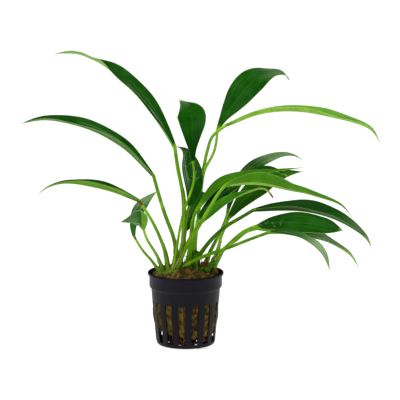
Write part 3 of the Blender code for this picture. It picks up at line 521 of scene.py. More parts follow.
class StageSettings(bpy.types.PropertyGroup):
    """Floor, light and camera."""

    floor_colour: bpy.props.FloatVectorProperty(
        name="Floor", description="Colour of the floor, which also glows white like a light table",
        default=(0.25, 0.25, 0.25), size=3, min=0.0, max=1.0, subtype="COLOR")
    light: bpy.props.FloatProperty(
        name="Light", description="Strength of all lights together", default=1.0, min=0.0, max=5.0)
    distance: bpy.props.FloatProperty(
        name="Camera distance", description="Distance of the camera in front of the pot",
        default=1.4, min=0.3, max=10.0, unit="LENGTH")


def spline(points, count):
    """Even samples along a natural cubic through the points."""
    p = np.array(points, dtype=float)
    steps = np.linalg.norm(np.diff(p, axis=0), axis=1) ** 0.5
    knots = np.concatenate([[0.0], np.cumsum(steps)])
    n = len(p)
    a = np.eye(n)
    b = np.zeros_like(p)
    for i in range(1, n - 1):
        a[i, i - 1:i + 2] = steps[i - 1], 2 * (steps[i - 1] + steps[i]), steps[i]
        b[i] = 6 * ((p[i + 1] - p[i]) / steps[i] - (p[i] - p[i - 1]) / steps[i - 1])
    bend = np.linalg.solve(a, b)
    x = np.linspace(0, knots[-1], 600)
    i = np.clip(np.searchsorted(knots, x, side="right") - 1, 0, n - 2)
    h = steps[i][:, None]
    left = (knots[i + 1] - x)[:, None]
    right = (x - knots[i])[:, None]
    fine = (bend[i] * left ** 3 + bend[i + 1] * right ** 3) / (6 * h)
    fine = fine + (p[i] / h - bend[i] * h / 6) * left + (p[i + 1] / h - bend[i + 1] * h / 6) * right
    travelled = np.cumsum(np.linalg.norm(np.diff(fine, axis=0), axis=1))
    return sampled(np.concatenate([[0.0], travelled]), fine, np.linspace(0, travelled[-1], count))


def sampled(places, points, wanted):
    """Points given at places along a line, read in a straight line between them."""
    return np.stack([np.interp(wanted, places, points[:, axis]) for axis in range(3)], axis=1)


def along(values, t):
    """Values given at even steps from 0 to 1, read smoothly at each t."""
    v = np.array(values, dtype=float)
    if v.ndim == 1:
        v = v[:, None]
    x = np.asarray(t, dtype=float) * (len(v) - 1)
    i = np.clip(x.astype(int), 0, len(v) - 2)
    f = (x - i)[:, None]
    pad = np.vstack([2 * v[0] - v[1], v, 2 * v[-1] - v[-2]])
    p0, p1, p2, p3 = pad[i], pad[i + 1], pad[i + 2], pad[i + 3]
    cubic = f * (3 * (p1 - p2) + p3 - p0)
    return p1 + 0.5 * f * (p2 - p0 + f * (2 * p0 - 5 * p1 + 4 * p2 - p3 + cubic))


def unit(vectors):
    """Vectors at length one."""
    return vectors / np.linalg.norm(vectors, axis=-1, keepdims=True)


def line_length(line):
    """Length of a line of points."""
    return np.linalg.norm(np.diff(line, axis=0), axis=1).sum()


def ramp(value, start, full):
    """A value's way from start to full, held between 0 and 1."""
    return min(max((value - start) / (full - start), 0.0), 1.0)


def dome_height(x, y):
    """Top of the plug: a low cushion with soft lumps, lower on its left side."""
    reach = np.hypot(x, y) / DOME_REACH
    left = np.clip((-x - 6.0) / 14.0, 0.0, 1.0)
    lumps = 0.35 * np.sin(0.55 * x + 1.3) * np.cos(0.47 * y - 0.4) + 0.2 * np.sin(1.1 * y + 0.6 * x)
    side = np.maximum(np.abs(x) - 17.0, 0.0) / 8.0
    drop = DOME_DROP * reach ** 2 + LOW_LEFT_DROP * left ** 2 * (3 - 2 * left)
    return DOME_TOP - (drop + LOW_SIDES_DROP * side ** 2) + lumps * (1 - reach ** 4)


def front_heap(x, y):
    """How far the wool is heaped up over the lip in front of the stalks."""
    spread = np.exp(-((x - 3.0) / 13.0) ** 4 - ((y + 21.0) / 5.5) ** 2)
    peak = np.exp(-((x - 2.5) / 5.0) ** 2 - ((y + 17.5) / 3.5) ** 2)
    return 2.2 * spread + 1.8 * peak


def carried_sides(line):
    """Two directions across a line, carried from point to point without twisting."""
    tangents = unit(np.gradient(line, axis=0))
    across = np.array((0.31, 0.9, 0.2))
    sides = []
    for tangent in tangents:
        across = unit(across - across.dot(tangent) * tangent)
        sides.append(across)
    return np.array(sides), np.cross(tangents, sides)


def select_only(*objects):
    """Leave only these objects selected, the first one active. The frame's nodes start selected."""
    if bpy.context.mode != "OBJECT":
        bpy.ops.object.mode_set(mode="OBJECT")
    bpy.ops.object.select_all(action="DESELECT")
    for obj in objects:
        obj.select_set(True)
    if objects:
        bpy.context.view_layer.objects.active = objects[0]


def add_sheet(name, rows, columns):
    """A flat grid of panels, each point's place along and across it from 0 to 1, and its row."""
    select_only()
    bpy.ops.mesh.primitive_grid_add(x_subdivisions=rows, y_subdivisions=columns, size=2.0)
    sheet = bpy.context.object
    sheet.name = name
    flat = read_points(sheet, "co")
    u, v = np.clip(0.5 * (flat[:, 0] + 1), 0, 1), np.clip(0.5 * (flat[:, 1] + 1), 0, 1)
    return sheet, u, v, np.rint(u * rows).astype(int)


def read_points(obj, what):
    """Places or normals of the mesh's points."""
    flat = np.empty(len(obj.data.vertices) * 3)
    obj.data.vertices.foreach_get(what, flat)
    return flat.reshape(-1, 3)


def place_points(obj, points):
    """Put the mesh's points at these places, given in millimetres."""
    obj.data.vertices.foreach_set("co", (np.asarray(points) * MM).ravel())
    obj.data.update()


def round_line(obj, line, row, turn, radii):
    """Wrap a sheet's points round a line, each at its row, turn and radius."""
    across, other = carried_sides(line)
    round_way = np.cos(turn)[:, None] * across[row] + np.sin(turn)[:, None] * other[row]
    place_points(obj, line[row] + radii[:, None] * round_way)


def close_seams(obj):
    """Merge the points that a wrapped sheet has brought together, and face it outwards."""
    bpy.context.view_layer.objects.active = obj
    bpy.ops.object.mode_set(mode="EDIT")
    bpy.ops.mesh.select_all(action="SELECT")
    bpy.ops.mesh.remove_doubles(threshold=SEAM_GAP)
    bpy.ops.mesh.normals_make_consistent(inside=False)
    bpy.ops.object.mode_set(mode="OBJECT")
    obj.data.shade_smooth()


def apply_modifiers(obj):
    """Fix every modifier of the object into its mesh."""
    select_only(obj)
    for modifier in list(obj.modifiers):
        bpy.ops.object.modifier_apply(modifier=modifier.name)


def join_pieces(pieces, name):
    """Several meshes as one object, named as given."""
    select_only(*pieces)
    bpy.ops.object.join()
    pieces[0].name = name
    return pieces[0]


def tube(name, line, radii, sides, ends):
    """A round closed tube along a line, its ends drawn in to a point within the given lengths."""
    line = np.asarray(line, dtype=float)
    start = line[0] - unit(line[1] - line[0]) * ends[0]
    end = line[-1] + unit(line[-1] - line[-2]) * ends[1]
    line = np.vstack([start, line, end])
    radii = np.concatenate([[0.0], radii, [0.0]])
    obj, _, v, row = add_sheet(name, len(line) - 1, sides)
    round_line(obj, line, row, 2 * math.pi * v, radii[row])
    close_seams(obj)
    return obj


def dress(obj, materials, slot, nodes=(), smooth=None):
    """Give a finished piece its materials and the body it rides on, and hide the frame's nodes that
    it stands for.
    """
    if materials:
        obj.data.materials.clear()
        for material in materials:
            obj.data.materials.append(material)
    if smooth is not None:
        select_only(obj)
        bpy.ops.object.shade_smooth_by_angle(angle=math.radians(smooth))
    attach(obj, "root")
    if nodes:
        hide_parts(*nodes)


class Nodes:
    """Short ways to lay a pattern in a shader's node tree."""

    def __init__(self, tree):
        self.tree = tree

    def add(self, kind, feeds=None, **settings):
        """A shader node with its own settings, its sockets fed by values or by nodes' outputs."""
        made = self.tree.nodes.new("ShaderNode" + kind)
        for key, value in settings.items():
            setattr(made, key, value)
        for key, value in (feeds or {}).items():
            if isinstance(value, bpy.types.NodeSocket):
                self.tree.links.new(value, made.inputs[key])
            else:
                made.inputs[key].default_value = value
        return made.outputs

    def parts(self, place):
        """The X, Y and Z of a place."""
        return self.add("SeparateXYZ", {"Vector": place})

    def sums(self, operation, first, second=0.0, third=0.0):
        """One arithmetic step on socket values, and its result."""
        return self.add("Math", {0: first, 1: second, 2: third}, operation=operation)[0]

    def times(self, first, *others):
        """Values multiplied."""
        for other in others:
            first = self.sums("MULTIPLY", first, other)
        return first

    def scaled(self, value, factor, offset):
        """A value times a factor, plus an offset."""
        return self.sums("MULTIPLY_ADD", value, factor, offset)

    def fade(self, value, low, high):
        """A smooth step of a value from 0 at low to 1 at high, which may be the lower number."""
        feeds = {"Value": value, "From Min": low, "From Max": high}
        return self.add("MapRange", feeds, interpolation_type="SMOOTHSTEP")["Result"]

    def noise(self, place, scale, detail=3.0, roughness=0.5, stretch=None):
        """Soft noise at a place, drawn out by scaling the place's axes, as a value."""
        if stretch:
            place = self.add("Mapping", {"Vector": place, "Scale": stretch})["Vector"]
        feeds = {"Vector": place, "Scale": scale, "Detail": detail, "Roughness": roughness}
        return self.add("TexNoise", feeds)["Fac"]

    def mix(self, share, first, second):
        """Two colours mixed, and the result."""
        feeds = {"Factor": share}
        for place, colour in ((6, first), (7, second)):
            screen = isinstance(colour, tuple) and len(colour) == 3
            feeds[place] = linear(*colour) if screen else colour
        return self.add("Mix", feeds, data_type="RGBA")[2]

    def tint(self, colour, other, share, strength):
        """A colour tinted with another one, where the share is high."""
        return self.mix(self.times(share, strength), colour, other)


class Paint(Nodes):
    """A named material in the making, with the places that its patterns read."""

    def __init__(self, name):
        self.material = bpy.data.materials.new(name)
        self.material.use_nodes = True
        super().__init__(self.material.node_tree)
        self.shader = self.tree.nodes["Principled BSDF"]
        coords = self.add("TexCoord")
        self.place, self.map = coords["Object"], coords["UV"]

    def bump(self, height, distance, strength, after=None):
        """Raise the surface by a height value."""
        feeds = {"Height": height, "Distance": distance, "Strength": strength}
        if after is not None:
            feeds["Normal"] = after
        made = self.add("Bump", feeds)["Normal"]
        self.tree.links.new(made, self.shader.inputs["Normal"])
        return made

    def finish(self, colour, roughness, specular):
        """Lay the finished colour and roughness on the shader, and return the material."""
        for key, value in (("Base Color", colour), ("Roughness", roughness),
                           ("Specular IOR Level", specular)):
            if isinstance(value, bpy.types.NodeSocket):
                self.tree.links.new(value, self.shader.inputs[key])
            else:
                self.shader.inputs[key].default_value = value
        return self.material


def leaf_material(name, leaf, length, underside):
    """One side of a blade: mottled green with slanted side veins, a pale margin and a brown tip."""
    settings = bpy.context.scene.anubias_leaf
    shade, lit, under, rough = KINDS[leaf["kind"]]
    shine, streaks, where, reach = leaf["shine"]
    browned, lightened = leaf["browned"], leaf["lightened"]
    paint = Paint(("under_" if underside else "upper_") + name)
    far, over, _ = paint.parts(paint.map)
    off = paint.sums("ABSOLUTE", paint.scaled(over, 2.0, -1.0))
    slant = paint.times(paint.sums("POWER", off, 0.8), 3.4)
    drift = paint.times(paint.noise(paint.place, 60.0, 1.0), 1.3)
    phase = paint.scaled(far, settings.veins * length / 100.0, drift)
    phase = paint.sums("ADD", phase, paint.times(slant, -1.0))
    wave = paint.sums("SINE", paint.times(phase, math.pi))
    vein = paint.fade(paint.sums("ABSOLUTE", wave), 0.34, 0.0)
    fine = paint.noise(paint.map, 1.0, 2.0, 0.5, stretch=(length / 40.0, 11.0, 1.0))
    patches = paint.noise(paint.place, 75.0, 2.0, 0.5)
    if underside:
        under = linear(*(leaf["under"] or under))
        colour = paint.mix(paint.fade(patches, 0.35, 0.7), dimmed(under, 0.78), under)
        streak = paint.fade(fine, 0.42, 0.7)
        colour = paint.tint(colour, (176, 208, 130), streak, leaf["under_streaks"])
        colour = paint.tint(colour, (112, 158, 62), vein, 0.3)
        colour = paint.tint(colour, (168, 202, 96), paint.fade(off, 0.1, 0.03), 0.6)
    else:
        colour = paint.mix(paint.times(paint.fade(patches, 0.3, 0.8), 0.5), shade, lit)
        if leaf["deep"]:
            start, end, depth = leaf["deep"]
            deep = dimmed(linear(*shade), 0.3)
            colour = paint.tint(colour, deep, paint.fade(far, end, start), depth)
        colour = paint.tint(colour, lit, paint.fade(fine, 0.45, 0.8), 0.3)
        colour = paint.tint(colour, lit, vein, 0.3)
        colour = paint.tint(colour, lit, paint.fade(off, 0.05, 0.015), leaf["rib"])
        # Painted sheen: pale streaks in a band along the upper side, standing in for reflected
        # light.
        streak = paint.noise(paint.map, 1.0, 2.0, 0.5, stretch=(length / 55.0, 17.0, 3.0))
        band = paint.sums("ABSOLUTE", paint.sums("SUBTRACT", over, where))
        sheen_streak_mask = paint.times(paint.fade(streak, 0.5, 0.68), paint.fade(band, reach, 0.4 * reach))
        ends = paint.times(paint.fade(far, 0.06, 0.25), paint.fade(far, 1.0, 0.85))
        colour = paint.tint(colour, PAINTED_SHEEN_COLOUR, paint.times(sheen_streak_mask, ends), streaks)
        if leaf["sheen"]:
            start, full, strength = leaf["sheen"]
            sheen = paint.times(paint.fade(far, start, full), paint.fade(fine, 0.1, 0.65))
            colour = paint.tint(colour, (146, 176, 126), sheen, strength)
        # Painted highlights along the slanting creases, in the sheen colour.
        if leaf["crease_highlights"]:
            strength, start, end = leaf["crease_highlights"]
            bend = paint.times(paint.noise(paint.place, 160.0, 2.0), 3.0)
            slow = paint.sums("ABSOLUTE", paint.sums("SINE", paint.scaled(phase, 1.3, bend)))
            broken = paint.fade(paint.noise(paint.place, 210.0, 2.0), 0.47, 0.62)
            crease_highlight = paint.times(paint.fade(slow, 0.75, 0.0), broken)
            near = paint.times(paint.fade(far, end, end - 0.15), strength)
            near = paint.times(paint.fade(far, start - 0.02, start + 0.06), near)
            colour = paint.tint(colour, PAINTED_SHEEN_COLOUR, crease_highlight, near)
        if leaf["turned"]:
            side, half = paint.parts(paint.place)["X"], 0.5
            low, high = (leaf["turned"] - half) * MM, (leaf["turned"] + half) * MM
            colour = paint.mix(paint.fade(side, low, high), colour, (102, 152, 44))
    share, pale = leaf["margin"]
    colour = paint.tint(colour, pale, paint.fade(off, 0.95, 0.99), share)
    base = paint.fade(far, 1.2 * lightened + 0.006, 0.1 * lightened)
    colour = paint.tint(colour, dimmed(settings.stalk), base, 0.85)
    late = paint.scaled(patches, 0.3 * browned, far)
    pale_tip = paint.fade(late, 1.0 - 2.6 * browned - 0.03, 1.0 - browned)
    colour = paint.tint(colour, (150, 186, 70), pale_tip, 0.6)
    brown_tip = paint.fade(late, 1.0 - 0.75 * browned, 1.0 - 0.3 * browned + 0.004)
    colour = paint.mix(brown_tip, colour, dimmed(settings.brown))
    paint.shader.inputs["Specular Tint"].default_value = (0.75, 1.0, 0.6, 1.0)
    relief = paint.scaled(vein, 0.35 if underside else -0.35, fine)
    paint.bump(relief, 0.0002, 0.4)
    rough = paint.scaled(fine, 0.12, rough - 0.04 + (0.14 if underside else 0.0))
    return paint.finish(colour, rough, 0.03 if underside else 0.01 + 0.2 * shine)


def stalk_material(name, leaf):
    """A leaf stalk: fresh green, streaked along, paler at its foot, browned at some joints."""
    settings = bpy.context.scene.anubias_leaf
    paint = Paint("stalk_" + name)
    far = paint.parts(paint.map)["X"]
    streak = paint.noise(paint.map, 1.0, 3.0, 0.6, stretch=(3.0, 16.0, 1.0))
    patches = paint.noise(paint.place, 110.0, 2.0)
    deep = dimmed(settings.stalk, 0.45)
    colour = paint.mix(paint.fade(streak, 0.38, 0.62), deep, dimmed(settings.stalk))
    colour = paint.tint(colour, (160, 206, 50), paint.fade(patches, 0.5, 0.75), 0.5)
    colour = paint.tint(colour, (168, 196, 92), paint.fade(far, 0.16, 0.02), 0.2)
    foot, top = leaf["tones"]
    tone = paint.scaled(far, top - foot, foot)
    colour = paint.mix(paint.sums("MAXIMUM", tone, 0.0), colour, (172, 224, 80))
    shadow = tuple(part * c for part, c in zip((0.15, 0.25, 0.2), settings.stalk)) + (1.0,)
    colour = paint.mix(paint.sums("MAXIMUM", paint.times(tone, -1.0), 0.0), colour, shadow)
    joint = leaf["joint"]
    if joint:
        ragged = paint.scaled(streak, 0.03, far)
        red = paint.mix(paint.fade(streak, 0.4, 0.6), dimmed(settings.brown), (136, 78, 22))
        colour = paint.mix(paint.fade(ragged, 1.0 - joint, 1.012 - joint), colour, red)
    if leaf["sheath"]:
        fleck = paint.fade(paint.noise(paint.place, 420.0, 1.0), 0.72, 0.76)
        colour = paint.tint(colour, (120, 62, 34), fleck, paint.fade(far, 0.5, 0.3))
    paint.bump(streak, 0.00015, 0.6)
    return paint.finish(colour, paint.scaled(streak, 0.2, 0.3), 0.05)


def sheath_material():
    """The thin sleeve round a stalk's foot: green with pinkish brown margins."""
    paint = Paint("sheath")
    off = paint.sums("ABSOLUTE", paint.scaled(paint.parts(paint.map)["Y"], 2.0, -1.0))
    streak = paint.noise(paint.map, 1.0, 3.0, 0.6, stretch=(4.0, 18.0, 1.0))
    colour = paint.mix(paint.fade(streak, 0.35, 0.65), (52, 106, 10), (112, 164, 34))
    worn = paint.scaled(streak, 0.35, off)
    colour = paint.mix(paint.fade(worn, 0.84, 1.02), colour, (176, 150, 96))
    colour = paint.mix(paint.fade(worn, 1.02, 1.16), colour, (138, 74, 48))
    paint.bump(streak, 0.00015, 0.6)
    return paint.finish(colour, 0.45, 0.05)


def plastic_material():
    """Black moulded plastic: satin, faintly uneven, with a few dust specks."""
    base = bpy.context.scene.anubias_pot.colour
    paint = Paint("pot_plastic")
    place = paint.place
    cloud = paint.fade(paint.noise(place, 40.0, 3.0), 0.35, 0.7)
    grain = paint.noise(place, 1600.0, 2.0)
    flow = paint.noise(place, 220.0, 2.0, stretch=(1.0, 1.0, 0.18))
    colour = paint.mix(cloud, dimmed(base), dimmed(base, 1.9))
    cells = paint.add("TexVoronoi", {"Vector": place, "Scale": 95.0})["Distance"]
    rare = paint.fade(paint.noise(place, 70.0, 0.0), 0.64, 0.68)
    colour = paint.tint(colour, (120, 120, 108), paint.fade(cells, 0.05, 0.03), rare)
    paint.bump(flow, 0.0001, 0.3, after=paint.bump(grain, 0.00004, 0.25))
    return paint.finish(colour, paint.scaled(flow, 0.16, 0.42), 0.14)


def wool_material(name, fibres):
    """Aged stone wool: matted olive brown strands, drawn out upright on the side of the plug."""
    settings = bpy.context.scene.anubias_plug
    light, dark = dimmed(settings.light), dimmed(settings.dark)
    paint = Paint(name)
    place = paint.place
    if fibres:
        colour = paint.mix(paint.fade(paint.noise(place, 260.0, 2.0), 0.35, 0.65), dark, light)
    else:
        upright = paint.noise(place, 900.0, 4.0, 0.65, stretch=(1.0, 1.0, 0.1))
        matted = paint.noise(place, 520.0, 5.0, 0.7)
        top = paint.fade(paint.parts(place)["Z"], 0.046, 0.052)
        strands = paint.add("Mix", {0: top, 2: upright, 3: matted}, data_type="FLOAT")[0]
        clumps = paint.noise(place, 200.0, 3.0, stretch=(1.0, 1.0, 0.24))
        colour = paint.mix(paint.fade(strands, 0.3, 0.66), dark, light)
        # Painted shade in the hollows between the clumps.
        colour = paint.tint(colour, dark, paint.fade(clumps, 0.6, 0.38), 0.7)
        # Painted shade in the clefts between the lumps on the top.
        cleft_shade = paint.times(paint.fade(paint.noise(place, 250.0, 2.0), 0.5, 0.4), top)
        colour = paint.tint(colour, dark, cleft_shade, 0.8)
        paint.bump(clumps, 0.0014, 0.8, after=paint.bump(strands, 0.0004, 0.8))
    stain = paint.fade(paint.noise(place, 85.0, 2.0), 0.55, 0.7)
    colour = paint.tint(colour, (96, 92, 30), stain, 0.4)
    return paint.finish(colour, 0.75 if fibres else 0.95, 0.15)


def rhizome_material():
    """A creeping stem: light olive green with brown scars and scurf."""
    paint = Paint("rhizome")
    mottled = paint.noise(paint.place, 330.0, 4.0, 0.65)
    far = paint.parts(paint.map)["X"]
    rings = paint.sums("ABSOLUTE", paint.sums("SINE", paint.scaled(far, 44.0, mottled)))
    colour = paint.mix(paint.fade(mottled, 0.35, 0.65), (52, 78, 12), (112, 136, 44))
    colour = paint.mix(paint.fade(rings, 0.24, 0.08), colour, (104, 66, 30))
    scurf = paint.fade(paint.noise(paint.place, 160.0, 3.0), 0.55, 0.66)
    colour = paint.tint(colour, (92, 54, 28), scurf, 0.8)
    paint.bump(paint.scaled(rings, 0.6, mottled), 0.0005, 0.8)
    return paint.finish(colour, 0.6, 0.06)


def root_material(name, young, old):
    """A root, mottled along its length."""
    paint = Paint(name)
    mottled = paint.noise(paint.place, 420.0, 4.0, 0.6)
    colour = paint.mix(paint.fade(mottled, 0.36, 0.64), old, young)
    paint.bump(mottled, 0.0002, 0.8)
    return paint.finish(colour, 0.6, 0.06)


class ANUBIAS_OT_pot(bpy.types.Operator):
    """Net pot: turned profile with upright slots and curved drain slots cut through its walls"""

    bl_idname = "anubias.pot"
    bl_label = "Net pot"

    def execute(self, context):
        settings = context.scene.anubias_pot
        scale = settings.lip_radius / LIP_RADIUS
        pot = self.turned_profile()
        self.cut_through(pot, self.find_openings(pot))
        bpy.ops.object.mode_set(mode="EDIT")
        bpy.ops.mesh.select_mode(type="EDGE")
        bpy.ops.mesh.select_all(action="DESELECT")
        bpy.ops.mesh.select_non_manifold(extend=False)
        bpy.ops.mesh.fill_holes(sides=0)
        bpy.ops.mesh.select_all(action="SELECT")
        bpy.ops.transform.resize(value=(scale, scale, 1), center_override=(0, 0, 0))
        bpy.ops.mesh.normals_make_consistent(inside=False)
        bpy.ops.object.mode_set(mode="OBJECT")
        rounding = pot.modifiers.new("rounded edges", "BEVEL")
        rounding.width = settings.edge_round
        rounding.segments = 2
        rounding.limit_method = "ANGLE"
        rounding.angle_limit = math.radians(50)
        apply_modifiers(pot)
        dress(pot, [plastic_material()], "pot_black", ["net_pot"], smooth=32)
        return {"FINISHED"}

    @staticmethod
    def turned_profile():
        """A circle drawn out ring by ring along the profile, open in the middle of the floor."""
        select_only()
        radius, height = POT_PROFILE[0]
        bpy.ops.mesh.primitive_circle_add(
            vertices=POT_COLUMNS, radius=radius * MM, location=(0, 0, height * MM))
        pot = bpy.context.object
        pot.name = "pot"
        bpy.ops.object.transform_apply(location=True, rotation=True, scale=True)
        bpy.ops.object.mode_set(mode="EDIT")
        bpy.ops.mesh.select_all(action="SELECT")
        turn = -math.radians(FIRST_RIB)
        bpy.ops.transform.rotate(value=turn, orient_axis="Z", center_override=(0, 0, 0))
        for wider, higher in POT_PROFILE[1:]:
            lift = {"value": (0, 0, (higher - height) * MM)}
            bpy.ops.mesh.extrude_edges_move(TRANSFORM_OT_translate=lift)
            grow = wider / radius
            bpy.ops.transform.resize(value=(grow, grow, 1), center_override=(0, 0, 0))
            radius, height = wider, higher
        bpy.ops.mesh.select_all(action="DESELECT")
        bpy.ops.object.mode_set(mode="OBJECT")
        return pot

    @staticmethod
    def find_openings(pot):
        """The middles of the faces that each slot and drain slot takes out, outside and inside."""
        pitch, drain_pitch = POT_COLUMNS // SLOT_COUNT, POT_COLUMNS // DRAIN_COUNT
        cuts = {}
        for face in pot.data.polygons:
            x, y, z = face.center
            angle = math.degrees(math.atan2(x, -y)) - FIRST_RIB
            column = int(angle % 360.0 / (360.0 / POT_COLUMNS))
            high, away = z / MM, math.hypot(x, y) / MM
            if SLOT_BOTTOM < high < SLOT_TOP and away > SIDE_RADIUS:
                if pitch // 4 <= column % pitch < pitch // 4 + SLOT_COLUMNS:
                    cuts.setdefault(("slot", column // pitch), []).append(tuple(face.center))
            if high < FLOOR_TOP and DRAIN_RADII[0] < away < DRAIN_RADII[1]:
                if DRAIN_START <= column % drain_pitch < DRAIN_START + DRAIN_COLUMNS:
                    cuts.setdefault(("drain", column // drain_pitch), []).append(tuple(face.center))
        return cuts

    @staticmethod
    def cut_through(pot, cuts):
        """Join the outer and the inner side of each opening by a wall, and open both sides."""
        for middles in cuts.values():
            centres = np.array([tuple(face.center) for face in pot.data.polygons])
            chosen = np.zeros(len(centres), dtype=bool)
            for middle in np.array(middles):
                chosen |= np.abs(centres - middle).max(axis=1) < 1e-6
            bpy.ops.object.mode_set(mode="EDIT")
            bpy.ops.mesh.select_mode(type="FACE")
            bpy.ops.mesh.select_all(action="DESELECT")
            bpy.ops.object.mode_set(mode="OBJECT")
            pot.data.polygons.foreach_set("select", chosen)
            bpy.ops.object.mode_set(mode="EDIT")
            bpy.ops.mesh.bridge_edge_loops()
            bpy.ops.object.mode_set(mode="OBJECT")


def slot_bulge(angle, height):
    """How far the wool stands out of its profile where a slot lets it out."""
    column = (math.degrees(angle) - FIRST_RIB) % SLOT_PITCH
    in_slot = math.exp(-((column - 12.0) / 4.6) ** 4)
    upper = ramp(height, 10.0, 16.0) * ramp(height, 33.0, 30.5)
    ripple = noise.noise((2.2 * math.sin(angle), 2.2 * math.cos(angle), 0.05 * height + 3.0))
    belly = abs(math.sin(angle)) ** 6 * math.sin(math.pi * ramp(height, 14.0, 31.0))
    return in_slot * upper * max(0.5 + 0.9 * ripple + 0.9 * belly, -0.3)


class ANUBIAS_OT_plug(bpy.types.Operator):
    """Wool plug: a lumpy body that fills the pot, with loose fibres in the slots and on its top"""

    bl_idname = "anubias.plug"
    bl_label = "Wool plug"

    def execute(self, context):
        self.add_body()
        self.add_fibres(context.scene.anubias_plug)
        return {"FINISHED"}

    @staticmethod
    def add_body():
        """The plug itself, with its lumps, and heaped up on the top."""
        rows = PLUG_PANELS[0]
        body, _, v, row = add_sheet("wool_body", *PLUG_PANELS)
        profile = spline([(r, 0.0, h) for r, h in PLUG_PROFILE], rows + 1)
        angle = 2 * math.pi * v
        radius, height = profile[row, 0], profile[row, 2]
        radius[(row == 0) | (row == rows)] = 0.0
        x, y = radius * np.sin(angle), -radius * np.cos(angle)
        on_top = np.clip((height - 53.2) / 2.0, 0, 1)
        dome = np.minimum(height + 3.0, dome_height(x, y) - 0.25)
        height = height * (1 - on_top) + on_top * dome
        height = height + on_top * front_heap(x, y)
        left = np.clip(-x / 20.0, 0, 1)
        height = height + 3.5 * left * np.clip((16.0 - height) / 6.0, 0, 1)
        points = []
        for a, r, h, top in zip(angle, radius, height, on_top):
            east, north = math.sin(a), -math.cos(a)
            lump = noise.fractal((east * r * 0.35, north * r * 0.35, h * 0.13), 1.0, 2.0, 4)
            steep = 1.9 if top > 0.3 else 0.5
            fuzz = noise.noise((east * r * 1.9, north * r * 1.9, h * steep))
            push = slot_bulge(a, h) if 3.0 < h < 36.0 and r > 18.0 else 0.0
            side = 0.3 * lump + 0.14 * fuzz + push
            grown = r + (side * (1 - top) if r > 15.0 else 0.0)
            under = 0.5 * fuzz + 0.6 * lump if r < 20.6 and h < 15 else 0.0
            rise = (1.7 * lump + 0.5 * fuzz) * top if top > 0 else under
            points.append((east * grown, north * grown, h + rise))
        place_points(body, points)
        close_seams(body)
        dress(body, [wool_material("wool", False)], "plug_wool", ["stone_wool"])

    @staticmethod
    def slot_strand(rng, count):
        """A fibre that stands upright where a slot shows the wool."""
        slot = rng.randrange(SLOT_COUNT)
        angle = math.radians(FIRST_RIB + SLOT_PITCH * (slot + 0.5) + rng.uniform(-5.6, 5.6))
        low = rng.uniform(7.0 + 4.0 * max(-math.sin(angle), 0.0), 28.0)
        length, lean = rng.uniform(3.0, 11.0), rng.gauss(0.0, 0.05)
        stand, bow = rng.uniform(0.05, 0.4), rng.uniform(-0.25, 0.3)
        for t in FIBRE_STEPS:
            h = min(low + length * t, SLOT_FIBRE_TOP)
            a = angle + lean * (t - 0.5) + 0.012 * math.sin(5 * t + count)
            r = 21.35 + 0.093 * (h - 9.0) + slot_bulge(a, h) + stand + bow * math.sin(math.pi * t)
            yield r * math.sin(a), -r * math.cos(a), h

    @staticmethod
    def top_strand(rng):
        """A fibre that lies tangled on the top, inside the lip."""
        reach = 24.2 * math.sqrt(rng.random())
        angle = rng.uniform(0, 2 * math.pi)
        x, y = reach * math.sin(angle), -reach * math.cos(angle)
        way, turn = rng.uniform(0, 2 * math.pi), rng.gauss(0, 1.2)
        length, lift = rng.uniform(1.5, 5.0), rng.uniform(0.1, 0.75)
        for t in FIBRE_STEPS:
            px = x + length * (t - 0.5) * math.cos(way + turn * t)
            py = y + length * (t - 0.5) * math.sin(way + turn * t)
            away = max(math.hypot(px, py) / TOP_FIBRE_REACH, 1.0)
            px, py = px / away, py / away
            top = float(dome_height(px, py) + front_heap(px, py))
            yield px, py, top - 0.3 + lift * math.sin(math.pi * t)

    def add_fibres(self, settings):
        """Loose fibres: three in five stand in the slots, and the others lie on the top."""
        rng = random.Random(7)
        data = bpy.data.curves.new("wool_fibres", "CURVE")
        data.dimensions = "3D"
        data.bevel_depth = settings.fibre_radius
        data.bevel_resolution = 0
        data.use_fill_caps = True
        for count in range(settings.fibres):
            in_slot = count % 5 < 3
            strand = list(self.slot_strand(rng, count) if in_slot else self.top_strand(rng))
            curve = data.splines.new("POLY")
            curve.points.add(len(strand) - 1)
            for point, place in zip(curve.points, strand):
                point.co = (*(MM * c for c in place), 1.0)
        fibres = bpy.data.objects.new("wool_fibres", data)
        bpy.context.scene.collection.objects.link(fibres)
        select_only(fibres)
        bpy.ops.object.convert(target="MESH")
        fibres.data.shade_smooth()
        dress(fibres, [wool_material("wool_fibre", True)], "plug_wool")


class ANUBIAS_OT_rhizomes(bpy.types.Operator):
    """Rhizomes: ringed, knobbly creeping stems"""

    bl_idname = "anubias.rhizomes"
    bl_label = "Rhizomes"

    def execute(self, context):
        material = rhizome_material()
        for name, points in RHIZOMES.items():
            count = 12 * len(points)
            line = spline([point for point, _ in points], count)
            t = np.linspace(0, 1, count)
            radii = along([radius for _, radius in points], t)[:, 0]
            rings = np.abs(np.sin(math.pi * (t * len(points) * 1.6))) ** 0.5
            stem = tube(name + "_stem", line, radii * (1.03 + 0.07 * rings - 0.05), 28, (0.9, 0.9))
            knobs = np.array([noise.noise(Vector(v.co) * 600.0) for v in stem.data.vertices])
            raised = knobs[:, None] * read_points(stem, "normal") * 0.0003
            place_points(stem, (read_points(stem, "co") + raised) / MM)
            dress(stem, [material], "rhizome", [name])
        return {"FINISHED"}


